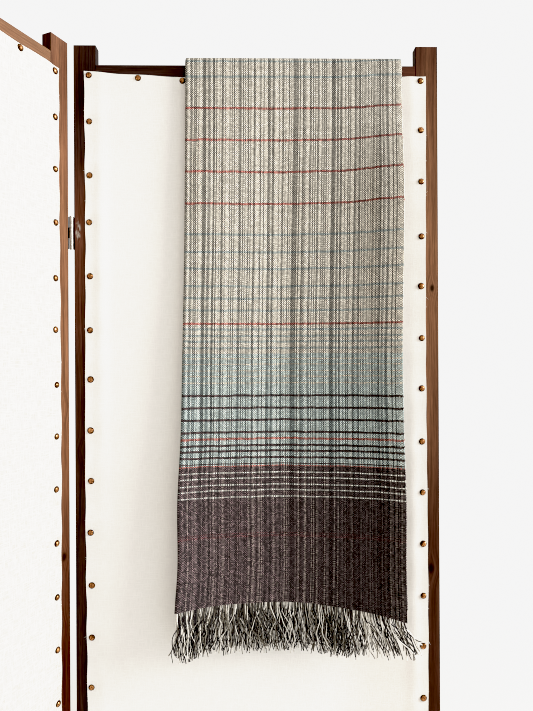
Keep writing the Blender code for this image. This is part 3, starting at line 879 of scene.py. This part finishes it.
def fringe(side, material):
    """The loose ends under one hem, in the order of the layers from the inside out."""
    draw = np.random.default_rng(side.seed)
    bm = bmesh.new()
    uv = bm.loops.layers.uv.new("strand")
    colour_layer = bm.loops.layers.float_color.new("yarn")

    def strand(across, level, length, lean, sweep, pick):
        inner = math.sin(math.pi * across) ** 2
        pick = 0.5 + (pick - 0.5) * (1.0 - MIDDLE_LIGHT_LOSS * inner)
        yarn = next(colour for share, colour in FRINGE_YARNS if pick <= share)
        shade = draw.uniform(0.86, 1.22) * (1.0 - MIDDLE_SHADE * inner)
        points = strand_points(side, across, level, length, lean, sweep, draw)
        colour = (*(c * shade for c in yarn), 1.0)
        tube(bm, points, draw.uniform(*STRAND_RADIUS), STRAND_SIDES, uv, colour_layer, colour, taper=0.8)

    for layer, strands in enumerate(side.strands_of_layers):
        level = CLOTH_THICKNESS / 2 + layer * LAYER_PITCH
        lock_lean = 0.0
        for i in range(strands):
            if i % STRANDS_OF_LOCK == 0:
                lock_lean = draw.normal(0.05, 0.11)
            across = 0.006 + 0.988 * (i + draw.uniform(0.1, 0.9)) / strands
            if draw.uniform() < THINNED * max(0.0, across - 0.78) / 0.22:
                continue
            length = side.length * draw.uniform(0.84, 1.08) * (1.0 - 0.24 * max(0.0, across - 0.75) / 0.25)
            lean = lock_lean + draw.normal(0.0, 0.12)
            strand(across, level, length, lean, 0.0, (GOLDEN_SHARE * i + draw.uniform(0.0, 0.35)) % 1.0)
    if side.name == "front":
        for across, length, lean, sweep, pick in SWEPT_ENDS:
            strand(across, outer_level(), length, lean, sweep, pick)
    piece = object_from(f"fringe_{side.name}_ends", bm, material, MAIN)
    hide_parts(side.node)
    return piece


def fringe_material():
    """Two-ply yarn: each strand's own colour with the plies' twist, and painted shade in the grooves between the
    plies.
    """
    graph = Graph("fringe_yarn")
    yarn = graph.node("ShaderNodeVertexColor", layer_name="yarn").outputs[0]
    turn, along, _ = graph.split(graph.uv("strand"))
    ply = abs(graph.math("SINE", (along * TWIST + turn * 2.0) * math.pi))
    fibre = graph.noise(graph.place(), 1400.0, 2.0, 0.6)
    # Painted shade darkens the grooves between the plies
    colour = graph.scaled(yarn, graph.smooth(ply, 0.0, 0.7, 0.62, 1.08))
    colour = graph.scaled(colour, graph.smooth(fibre, 0.25, 0.75, 0.8, 1.15))
    return graph.surface(colour, 0.9, graph.bump(ply, 0.0004, 0.6), Specular_IOR_Level=0.2)


# Selvage: the weft turns back in small loops at the outer layer's open side

LOOP_RADIUS = 0.0011
LOOP_YARN = 0.00055
LOOP_POINTS = 6
LOOP_SEED = 21


def selvage_loops(material):
    draw = np.random.default_rng(LOOP_SEED)
    bm = bmesh.new()
    uv = bm.loops.layers.uv.new("cloth")
    width = section_width()
    for side, middle_hem in (("front", HEM_MIDDLE), ("back", BACK_HEM)):
        for i in range(1, int((SHOULDER_BASE - middle_hem) / PICK / 2)):
            height = SHOULDER_BASE - (i + draw.uniform(-0.15, 0.15)) * 2 * PICK
            if height < hem_at(side, 1.0) + PICK:
                continue
            reach = LOOP_RADIUS * draw.uniform(0.75, 1.35)
            points = []
            for k in range(LOOP_POINTS):
                turn = math.pi * (k / (LOOP_POINTS - 1) - 0.5)
                here = 1.0 + reach * (math.cos(turn) - 0.25) / width
                at = height + PICK * 0.85 * math.sin(turn)
                out = drop_normal(side, 1.0, at) * (outer_level() + 0.0004 * math.sin(turn * 2.0))
                points.append(drop_point(side, here, at) + out)
            tube(bm, points, LOOP_YARN, 4, uv, flat=(0.0, height - middle_hem))
    return object_from("throw_selvage_loops", bm, material, MAIN)


# Canvas


def edge_wave(distance, phase):
    """How far the canvas's cut edge strays from a straight line, a little between every two nails."""
    between_nails = math.sin(math.pi * distance / NAIL_SPACING) ** 2
    slow = math.sin(distance * 7.0 + phase)
    return CANVAS_WAVE * (0.8 * slow - between_nails)


Panel = namedtuple("Panel", "name body node hinge_side sign nail_seed")
PANELS = (
    Panel("main", MAIN, "main_canvas", MAIN_LEFT, 1.0, 31),
    Panel("wing", WING, "wing_canvas", WING_RIGHT, -1.0, 32),
)
WING_TURN = (
    Matrix.Translation(HINGE_AXIS) @ Matrix.Rotation(WING_ANGLE, 4, "Z") @ Matrix.Translation(-HINGE_AXIS)
)


def in_place(panel, point):
    """A point of a panel laid flat in line with the main one, moved to where the panel stands."""
    return WING_TURN @ point if panel.body == WING else point


def canvas_top(panel, share):
    """Height of the canvas's top edge at a share of the way from its hinge side to its free side."""
    top = CANVAS_TOPS[panel.name]
    return top.hinge + (top.free - top.hinge) * share - top.sag * 4.0 * share * (1.0 - share)


def nail_places(panel):
    """X and Z of each nail on a panel laid flat: both sides, the top row and the bottom row."""
    draw = np.random.default_rng(panel.nail_seed)
    hinge_x = panel.hinge_side + panel.sign * NAIL_ROWS[panel.name, "hinge"].inset
    free_x = panel.hinge_side + panel.sign * (PANEL_WIDTH - NAIL_ROWS[panel.name, "free"].inset)
    places = []
    for side, x in (("hinge", hinge_x), ("free", free_x)):
        row = NAIL_ROWS[panel.name, side]
        count = round((row.top - CANVAS_BOTTOM - NAIL_BOTTOM_INSET) / row.spacing) + 1
        for i in range(count):
            above = row.above_mm[i] / 1000 if i < len(row.above_mm) else 0.0
            z = max(row.top - row.spacing * i + above, CANVAS_BOTTOM + NAIL_BOTTOM_INSET)
            places.append((x + draw.normal(0.0, 0.0006), z))
    between = NAILS_ACROSS[panel.name]
    for i in range(1, between):
        share = i / between
        x = hinge_x + (free_x - hinge_x) * share
        places.append((x + draw.normal(0.0, 0.0015), canvas_top(panel, share) - NAIL_BELOW_TOP))
        places.append((x + draw.normal(0.0, 0.0015), CANVAS_BOTTOM + NAIL_BOTTOM_INSET))
    return places


CANVAS_COLUMNS = 96
CANVAS_ROWS = 210
EDGE_CROWDING = 0.055
PUCKER = 0.0026
PUCKER_REACH = 0.045
STREAK = 0.0022
NAIL_HOLD = 0.012


def panel_sides(panel):
    """X of a panel's left and right side, laid flat."""
    return sorted((panel.hinge_side, panel.hinge_side + panel.sign * PANEL_WIDTH))


def canvas_height(panel):
    return CANVAS_TOPS[panel.name].hinge - CANVAS_BOTTOM


def canvas_left(panel):
    return panel_sides(panel)[0] + CANVAS_INSET_LEFT


def canvas_edge(panel, up, on_right):
    """X of the canvas's wavering left or right edge at a share of its height."""
    if on_right:
        return canvas_left(panel) + CANVAS_WIDTH + edge_wave(canvas_height(panel) * up, 2.0 + panel.sign)
    return canvas_left(panel) - edge_wave(canvas_height(panel) * (1.0 - up), 4.0 - panel.sign)


def canvas_relief(panel, x, z, nails):
    """How far the canvas stands off its straight plane: held down at each nail, puckered between them."""
    low_x, high_x = panel_sides(panel)
    from_side = min(x - low_x, high_x - x) - 0.018
    pucker = math.sin(2.0 * math.pi * z / NAIL_SPACING + 0.9 * math.sin(z * 9.0 + panel.sign))
    fade = math.exp(-max(0.0, from_side) / PUCKER_REACH)
    streak = math.exp(-((from_side - 0.028) / 0.011) ** 2) * (0.55 + 0.45 * math.sin(z * 6.0 + x * 5.0))
    out = PUCKER * (0.5 + 0.5 * pucker) * fade + STREAK * streak
    gap = np.hypot(nails[:, 0] - x, nails[:, 1] - z).min()
    return max(0.0, out * (1.0 - math.exp(-(gap / NAIL_HOLD) ** 2)))


# Each canvas's pale and deep tone and how far its thick threads stand out in tone. The wing's tones are the same
# canvas darkened and warmed as painted shade and painted bounce light, and its stronger thread tone is partly the
# threads' own and partly painted shade of their relief.
CANVAS_TONES = {
    "main": (linear(237, 235, 231), linear(228, 223, 216), 0.05),
    "wing": (linear(221, 214, 206), linear(213, 204, 195), 0.30),
}


def canvas_piece(panel, material):
    """The canvas as a closed thin sheet with its cut edge wavering and its surface puckered by the nails."""
    nails = np.array(nail_places(panel))
    low_x = canvas_left(panel)
    high_x = low_x + CANVAS_WIDTH
    back_y = PANEL_FRONT - SEAT_GAP
    bm = bmesh.new()
    uv = bm.loops.layers.uv.new("cloth")
    grid = []
    for i in range(CANVAS_ROWS + 1):
        up = i / CANVAS_ROWS
        row = []
        left, right = canvas_edge(panel, up, False), canvas_edge(panel, up, True)
        for j in range(CANVAS_COLUMNS + 1):
            share = j / CANVAS_COLUMNS
            share -= EDGE_CROWDING * math.sin(2.0 * math.pi * share)
            x = left + (right - left) * share
            top = canvas_top(panel, share if panel.sign > 0 else 1.0 - share) - edge_wave(high_x - x, 3.0)
            bottom = CANVAS_BOTTOM + edge_wave(x - low_x, 1.0)
            z = bottom + (top - bottom) * up
            out = canvas_relief(panel, x, z, nails)
            pair = []
            for y in (back_y - CANVAS_THICKNESS - out, back_y - out * 0.92):
                pair.append((bm.verts.new(in_place(panel, Vector((x, y, z)))), (x, z)))
            row.append(pair)
        grid.append(row)
    name = f"{panel.name}_canvas_sheet"
    piece = closed_sheet(name, grid, bm, uv, material, panel.body, panel.node)
    canvas_height(panel)


FRAYS = 70


def frayed_threads(panel, material):
    """Loose threads along the canvas's cut edges."""
    draw = np.random.default_rng(panel.nail_seed + 20)
    bm = bmesh.new()
    uv = bm.loops.layers.uv.new("strand")
    for _ in range(FRAYS):
        on_right = draw.uniform() < 0.5
        up = draw.uniform(0.01, 0.985)
        x = canvas_edge(panel, up, on_right)
        z = CANVAS_BOTTOM + canvas_height(panel) * up
        away = 1.0 if on_right else -1.0
        length = draw.uniform(0.001, 0.0035) * (2.4 if draw.uniform() < 0.1 else 1.0)
        tilt = draw.normal(0.0, 0.7)
        points = []
        for k in range(5):
            share = k / 4
            aside = away * length * (share - 0.25) * math.cos(tilt)
            rise = length * share * math.sin(tilt) - 0.0015 * share ** 2
            y = PANEL_FRONT - SEAT_GAP - 0.0007 - 0.0006 * math.sin(math.pi * share)
            points.append(in_place(panel, Vector((x + aside, y, z + rise))))
        tube(bm, points, draw.uniform(0.00013, 0.00024), 3, uv)
    object_from(f"{panel.name}_canvas_frays", bm, material, panel.body)


def canvas_material(name, pale, deep, slubs):
    """Unbleached canvas: a fine plain weave with uneven thicker threads both ways, and painted shade deepening it
    towards its right.
    """
    graph = Graph(name)
    across, along, _ = graph.split(graph.uv("cloth"))
    level = graph.noise(graph.join(across * 60.0, along * 480.0), 1.0, 2.0, 0.6)
    upright = graph.noise(graph.join(across * 480.0, along * 60.0, 5.0), 1.0, 2.0, 0.6)
    threads = graph.math("MAXIMUM", level, upright)
    fine = graph.math("SINE", across * 5200.0) * graph.math("SINE", along * 5200.0)
    cloudy = graph.noise(graph.join(across, along), 3.0)
    # Painted shade: the deep tone takes over towards the canvas's right
    share = graph.smooth(across, 0.38, 0.52, 0.0, 0.9) + graph.smooth(cloudy, 0.3, 0.7, -0.15, 0.15)
    colour = graph.mix(share, pale, deep)
    colour = graph.scaled(colour, graph.smooth(threads, 0.35, 0.75, 1.0 - slubs, 1.0 + slubs * 0.4))
    return graph.surface(colour, 0.9, graph.bump(fine * 0.22 + threads, 0.0005, 0.5), Specular_IOR_Level=0.15)


# Nails


def dome_nails(panel, material):
    """Domed nail heads, each a little out of true, pressed into the canvas."""
    draw = np.random.default_rng(panel.nail_seed + 40)
    bm = bmesh.new()
    crown = bm.verts.layers.float.new("crown")
    base_y = PANEL_FRONT - SEAT_GAP - CANVAS_THICKNESS + NAIL_SUNK
    for x, z in nail_places(panel):
        radius = NAIL_RADIUS * draw.uniform(0.95, 1.05)
        high = NAIL_HEIGHT * draw.uniform(0.9, 1.08)
        tilt = Matrix.Rotation(draw.normal(0.0, 0.05), 3, "X") @ Matrix.Rotation(draw.normal(0.0, 0.05), 3, "Z")

        def vert(wide, out, turn=0.0):
            local = tilt @ Vector((wide * math.cos(turn), -out, wide * math.sin(turn)))
            made = bm.verts.new(in_place(panel, Vector((x, base_y, z)) + local))
            made[crown] = max(0.0, out / high)
            return made

        profile = [(radius * 0.99, -NAIL_SUNK), (radius * 1.015, 0.0)]
        for i in range(1, NAIL_RINGS):
            angle = math.pi / 2 * i / NAIL_RINGS
            profile.append((radius * math.cos(angle), high * math.sin(angle)))
        turns = [2.0 * math.pi * k / NAIL_SIDES for k in range(NAIL_SIDES)]
        rows = [[vert(wide, out, turn) for turn in turns] for wide, out in profile]
        tip = vert(0.0, high)
        for k in range(NAIL_SIDES):
            following = (k + 1) % NAIL_SIDES
            for low, top in zip(rows, rows[1:]):
                bm.faces.new((low[k], low[following], top[following], top[k]))
            bm.faces.new((rows[-1][k], rows[-1][following], tip))
        bm.faces.new(rows[0][::-1])
    bmesh.ops.recalc_face_normals(bm, faces=bm.faces)
    object_from(f"{panel.name}_nails", bm, material, panel.body)


def nail_material():
    """Antique brass, browned unevenly, brightened on its crown by wear and a painted highlight, and darkened
    round its rim by painted shade.
    """
    graph = Graph("antique_brass")
    spots = graph.noise(graph.place(), 420.0, 3.0, 0.65)
    brown = graph.noise(graph.place(), 90.0)
    colour = graph.mix(graph.smooth(spots, 0.4, 0.65), linear(164, 118, 78), linear(88, 54, 34))
    colour = graph.mix(graph.smooth(brown, 0.35, 0.65, 0.0, 0.6), colour, linear(98, 62, 40))
    crown = graph.node("ShaderNodeAttribute", attribute_name="crown").outputs["Fac"]
    # Painted shade darkens the rim and a painted highlight brightens the crown, with uneven wear from the spots
    crown_wear_and_painted_shading = graph.smooth(spots, 0.3, 0.7, 0.18, -0.18) + crown
    colour = graph.scaled(colour, graph.smooth(crown_wear_and_painted_shading, 0.45, 1.0, 0.20, 1.8))
    roughness = graph.smooth(spots, 0.3, 0.7, 0.16, 0.34)
    return graph.surface(colour, roughness, graph.bump(spots, 0.0001, 0.4), Metallic=1.0)


# Wood

# Tones are (height on a post or X on a rail, with the panel laid flat, share of the pale stain there)
Wood = namedtuple("Wood", "pale deep grain tones knots scuffs", defaults=((),))
Knot = namedtuple("Knot", "x z size")
Scuff = namedtuple("Scuff", "x z width height")


def flat_place(graph, body):
    """The point with the wing turned back in line with the main panel."""
    if body == MAIN:
        return graph.place()
    turned = graph.node("ShaderNodeVectorRotate", rotation_type="Z_AXIS")
    graph.feed(turned.inputs["Vector"], graph.place())
    turned.inputs["Center"].default_value = HINGE_AXIS
    turned.inputs["Angle"].default_value = -WING_ANGLE
    return turned.outputs[0]


def wood_material(name, body, wood, upright, box):
    """Stained softwood: its stain wearing paler in places, grain along the board, knots, sides darkened by darker
    stain and painted shade, edges paler from wear.

    box gives the board's low and high corners in X and Z, on the panel laid flat.
    """
    graph = Graph(name)
    x, y, z = graph.split(flat_place(graph, body))
    (low_x, low_z), (high_x, high_z) = box
    long, short = (z, x) if upright else (x, z)
    low_long, high_long = (low_z, high_z) if upright else (low_x, high_x)
    low_short, high_short = (low_x, high_x) if upright else (low_z, high_z)

    # Grain, which bends with the board and round its knots
    bent = (graph.noise(graph.join(long * 2.2, 0.0), 1.0, 1.0) - 0.5) * 0.018 + short
    for knot in wood.knots:
        at_long, at_short = (knot.z, knot.x) if upright else (knot.x, knot.z)
        away = (long - at_long) / (knot.size * 1.7)
        push = graph.math("EXPONENT", away * away * -1.0) * graph.math("SIGN", short - at_short)
        bent = push * (-0.55 * knot.size) + bent

    def stretched(across, deep, lengthwise, detail, roughness=0.5):
        """Noise drawn out along the board, by its scales across, through and along it."""
        return graph.noise(graph.join(bent * across, y * deep, long * lengthwise), 1.0, detail, roughness)

    grain = stretched(420.0, 160.0, 9.0, 4.0, 0.62)
    broad = stretched(95.0, 50.0, 2.4, 2.0)
    pores = stretched(1500.0, 900.0, 60.0, 2.0)
    stops = [((at - low_long) / (high_long - low_long), (share,) * 3) for at, share in wood.tones]
    stain = graph.split(graph.ramp((long - low_long) / (high_long - low_long), stops))[0]
    colour = graph.mix(stain + graph.smooth(broad, 0.35, 0.65, -0.14, 0.14), wood.deep, wood.pale)
    colour = graph.scaled(colour, graph.smooth(grain, 0.32, 0.68, 1.0 - wood.grain, 1.0 + wood.grain))
    colour = graph.scaled(colour, graph.smooth(pores, 0.35, 0.6, 0.80, 1.06))

    for knot in wood.knots:
        from_knot = graph.length(graph.join(x - knot.x, 0.0, (z - knot.z) * 0.62))
        inside = graph.smooth(from_knot, knot.size * 0.55, knot.size * 0.16)
        colour = graph.mix(inside * 0.88, colour, tuple(c * 0.15 for c in wood.deep))
    for scuff in wood.scuffs:
        aside, above = (x - scuff.x) / scuff.width, (z - scuff.z) / scuff.height
        chips = graph.noise(graph.join(x * 420.0, 0.0, z * 90.0), 1.0, 3.0)
        bare = graph.smooth(aside * aside + above * above, 1.0, 0.2) * graph.smooth(chips, 0.46, 0.60, 0.0, 0.8)
        colour = graph.mix(bare, colour, linear(176, 168, 158))

    # Sides darkened by darker stain and painted shade, and edges paler from wear
    from_side = (high_short - low_short) / 2 - abs(short - (high_short + low_short) / 2)
    from_face = POST_DEPTH / 2 - abs(y)
    # Darker stain and painted shade on the posts' sides and the strips of their faces next to them
    if upright:
        colour = graph.scaled(colour, graph.smooth(from_side, 0.0004, 0.0016, 0.36, 1.0))
    rub = graph.noise(graph.join(long * 60.0, short, y), 1.0, 3.0, 0.7)
    edge = graph.math("MAXIMUM", from_side, from_face)
    wear_and_painted_light = graph.smooth(edge, 0.0014, 0.0003) * graph.smooth(rub, 0.52, 0.68, 0.0, 0.5)
    colour = graph.mix(wear_and_painted_light, colour, wood.pale)
    roughness = graph.smooth(grain, 0.3, 0.7, 0.66, 0.52)
    return graph.surface(colour, roughness, graph.bump(grain, 0.0006, 0.35), Specular_IOR_Level=0.18)


MAIN_HINGE_WOOD = Wood(
    linear(99, 64, 50), linear(48, 37, 36), 0.28,
    ((0.9, 0.1), (1.15, 0.3), (1.33, 0.9), (1.44, 0.85), (1.54, 0.1), (1.65, 0.0), (1.71, 0.2)),
    (Knot(0.004, 1.02, 0.011), Knot(-0.006, 0.47, 0.012)),
    (Scuff(-0.0125, 1.400, 0.0055, 0.024),),
)
MAIN_FREE_WOOD = Wood(
    linear(125, 89, 65), linear(61, 35, 26), 0.28,
    ((0.6, 0.0), (0.85, 0.1), (1.02, 0.5), (1.23, 0.75), (1.38, 0.95), (1.6, 0.55), (1.7, 0.25)),
    (Knot(0.596, 0.812, 0.014), Knot(0.600, 1.300, 0.010)),
)
RAIL_WOOD = Wood(linear(82, 50, 38), linear(52, 40, 38), 0.28, ((0.0, 0.1), (0.5, 0.1), (0.58, 1.0)), ())
WING_WOOD = Wood(
    linear(124, 86, 62), linear(61, 27, 18), 0.34,
    ((0.7, 0.0), (0.83, 0.15), (0.93, 0.45), (1.03, 0.65), (1.15, 0.95), (1.5, 0.95), (1.65, 0.65)),
    (Knot(-0.040, 0.845, 0.013), Knot(-0.052, 0.725, 0.012), Knot(-0.640, 1.10, 0.013)),
)
WING_RAIL_WOOD = Wood(linear(132, 98, 74), linear(100, 62, 42), 0.22, ((-0.6, 0.5), (-0.05, 0.7)), ())


def dress(node, material):
    """Gives a solid of the frame its finish."""
    mesh = bpy.data.objects[node].data
    mesh.materials.clear()
    mesh.materials.append(material)


def dress_woods():
    for panel, woods, rail_wood, top_rail_top in (
        (PANELS[0], (MAIN_HINGE_WOOD, MAIN_FREE_WOOD), RAIL_WOOD, TOP_RAIL_TOP),
        (PANELS[1], (WING_WOOD, WING_WOOD), WING_RAIL_WOOD, WING_TOP_RAIL_TOP),
    ):
        free = panel.hinge_side + panel.sign * PANEL_WIDTH
        posts = (("post_hinge", panel.hinge_side, panel.sign), ("post_free", free, -panel.sign))
        for (part, start, towards), wood in zip(posts, woods):
            low, high = sorted((start, start + towards * POST_WIDTH))
            node = f"{panel.name}_{part}"
            dress(node, wood_material(node, panel.body, wood, True, ((low, 0.0), (high, POST_HEIGHT))))
        low, high = panel_sides(panel)
        for part, top in (("rail_top", top_rail_top), ("rail_bottom", BOTTOM_RAIL_TOP)):
            node = f"{panel.name}_{part}"
            box = ((low, top - RAIL_HEIGHT), (high, top))
            dress(node, wood_material(node, panel.body, rail_wood, False, box))


# Steel

# How far from its axis a hinge is barrel, and past it leaf
BARREL_REACH = 0.0037


def steel_material():
    """Bright rolled steel on the barrel, a little scratched and dulled, and browned steel on the leaves."""
    graph = Graph("hinge_steel")
    place = graph.place()
    x, y, z = graph.split(place)
    scratch = graph.noise(graph.join(x * 300.0, y * 300.0, z * 2600.0), 1.0, 3.0, 0.6)
    dull = graph.noise(place, 160.0, 3.0, 0.6)
    bright = graph.mix(graph.smooth(dull, 0.4, 0.7, 0.0, 0.6), linear(184, 180, 172), linear(112, 106, 96))
    on_leaf = graph.length(graph.join(x - HINGE_AXIS.x, y - HINGE_AXIS.y)) > BARREL_REACH
    colour = graph.mix(on_leaf, bright, linear(14, 12, 11))
    roughness = on_leaf * 0.5 + graph.smooth(scratch, 0.3, 0.7, 0.24, 0.44)
    return graph.surface(colour, roughness, graph.bump(scratch, 0.0001, 0.2), Metallic=1.0)


def dress_hinges():
    steel = steel_material()
    for place in ("upper", "lower"):
        for part in ("main_leaf", "wing_leaf", "pin"):
            dress(f"hinge_{place}_{part}", steel)


# Stage, light and camera


def stage_floor():
    """A pale floor that fades out at its rim."""
    bm = bmesh.new()
    bmesh.ops.create_circle(bm, cap_ends=True, segments=96, radius=FLOOR_RADIUS)
    mesh = bpy.data.meshes.new("floor")
    bm.to_mesh(mesh)
    bm.free()
    floor = object_in_scene("floor", mesh)
    floor.location = FLOOR_PLACE
    graph = Graph("floor_pale")
    rim = graph.smooth(graph.length(graph.place()), 1.1, 2.3)
    clear = graph.node("ShaderNodeBsdfTransparent").outputs[0]
    mesh.materials.append(graph.shown(graph.blend(rim, graph.principled((0.80, 0.795, 0.785), 0.9), clear)))


def world_light(backdrop, left, right):
    """A pale surround: backdrop is what the camera sees, left and right the light shed from those sides."""
    graph = Graph("studio", "World")
    towards_right = graph.split(graph.node("ShaderNodeTexCoord").outputs["Generated"])[0] * 0.5 + 0.5
    shed = graph.fed("ShaderNodeBackground", (graph.mix(towards_right, left, right),)).outputs[0]
    seen = graph.fed("ShaderNodeBackground", (backdrop,)).outputs[0]
    by_camera = graph.node("ShaderNodeLightPath").outputs["Is Camera Ray"]
    bpy.context.scene.world = graph.shown(graph.blend(by_camera, shed, seen))


def area_light(name, place, target, size, power, colour):
    light = bpy.data.lights.new(name, "AREA")
    light.shape = "RECTANGLE"
    light.size, light.size_y = size
    light.energy = power
    light.color = colour
    lamp = object_in_scene(name, light)
    lamp.location = place
    lamp.rotation_euler = (Vector(target) - Vector(place)).to_track_quat("-Z", "Y").to_euler()


def camera():
    lens = bpy.data.cameras.new("camera")
    lens.sensor_fit = "AUTO"
    lens.sensor_width = SENSOR_MM
    lens.lens = FOCAL_PX / PHOTO_HEIGHT_PX * SENSOR_MM
    lens.clip_start = 0.02
    seen_by = object_in_scene("camera", lens)
    turned = Matrix.Rotation(CAMERA_YAW, 4, "Z") @ Matrix.Rotation(math.pi / 2, 4, "X")
    seen_by.matrix_world = Matrix.Translation(CAMERA_PLACE) @ turned @ Matrix.Rotation(CAMERA_ROLL, 4, "Z")
    bpy.context.scene.camera = seen_by


def film():
    """Plain colours with the film's curve, and a denoiser that keeps the threads apart."""
    scene = bpy.context.scene
    scene.view_settings.view_transform = "Standard"
    scene.view_settings.use_curve_mapping = True
    mapping = scene.view_settings.curve_mapping
    mapping.black_level = (BLACK_LEVEL,) * 3
    mapping.white_level = (WHITE_LEVEL,) * 3
    for light, shown in FILM_POINTS:
        mapping.curves[3].points.new(light, shown)
    mapping.curves[3].points[-1].location = (1.0, FILM_TOP)
    mapping.update()
    scene.cycles.denoising_prefilter = "NONE"
    scene.cycles.filter_width = 1.0


def build():
    camera()
    film()
    world_light(BACKDROP, LIGHT_FROM_LEFT, LIGHT_FROM_RIGHT)
    area_light("key", (3.6, -0.95, 2.1), (0.25, 0.0, 1.15), (1.5, 1.9), 175.0, (1.0, 0.99, 0.97))
    stage_floor()

    cloth, cut_width = throw_cloth(weave_material())
    loops = selvage_loops(weft_material())
    yarn = fringe_material()
    front = fringe(FRONT_FRINGE, yarn)
    back = fringe(BACK_FRINGE, yarn)
    brass = nail_material()
    thread = Graph("canvas_thread").surface(linear(234, 230, 222), 0.9)
    for panel in PANELS:
        canvas_piece(panel, canvas_material(f"{panel.name}_canvas_weave", *CANVAS_TONES[panel.name]))
        frayed_threads(panel, thread)
        dome_nails(panel, brass)
    dress_woods()
    dress_hinges()


build()
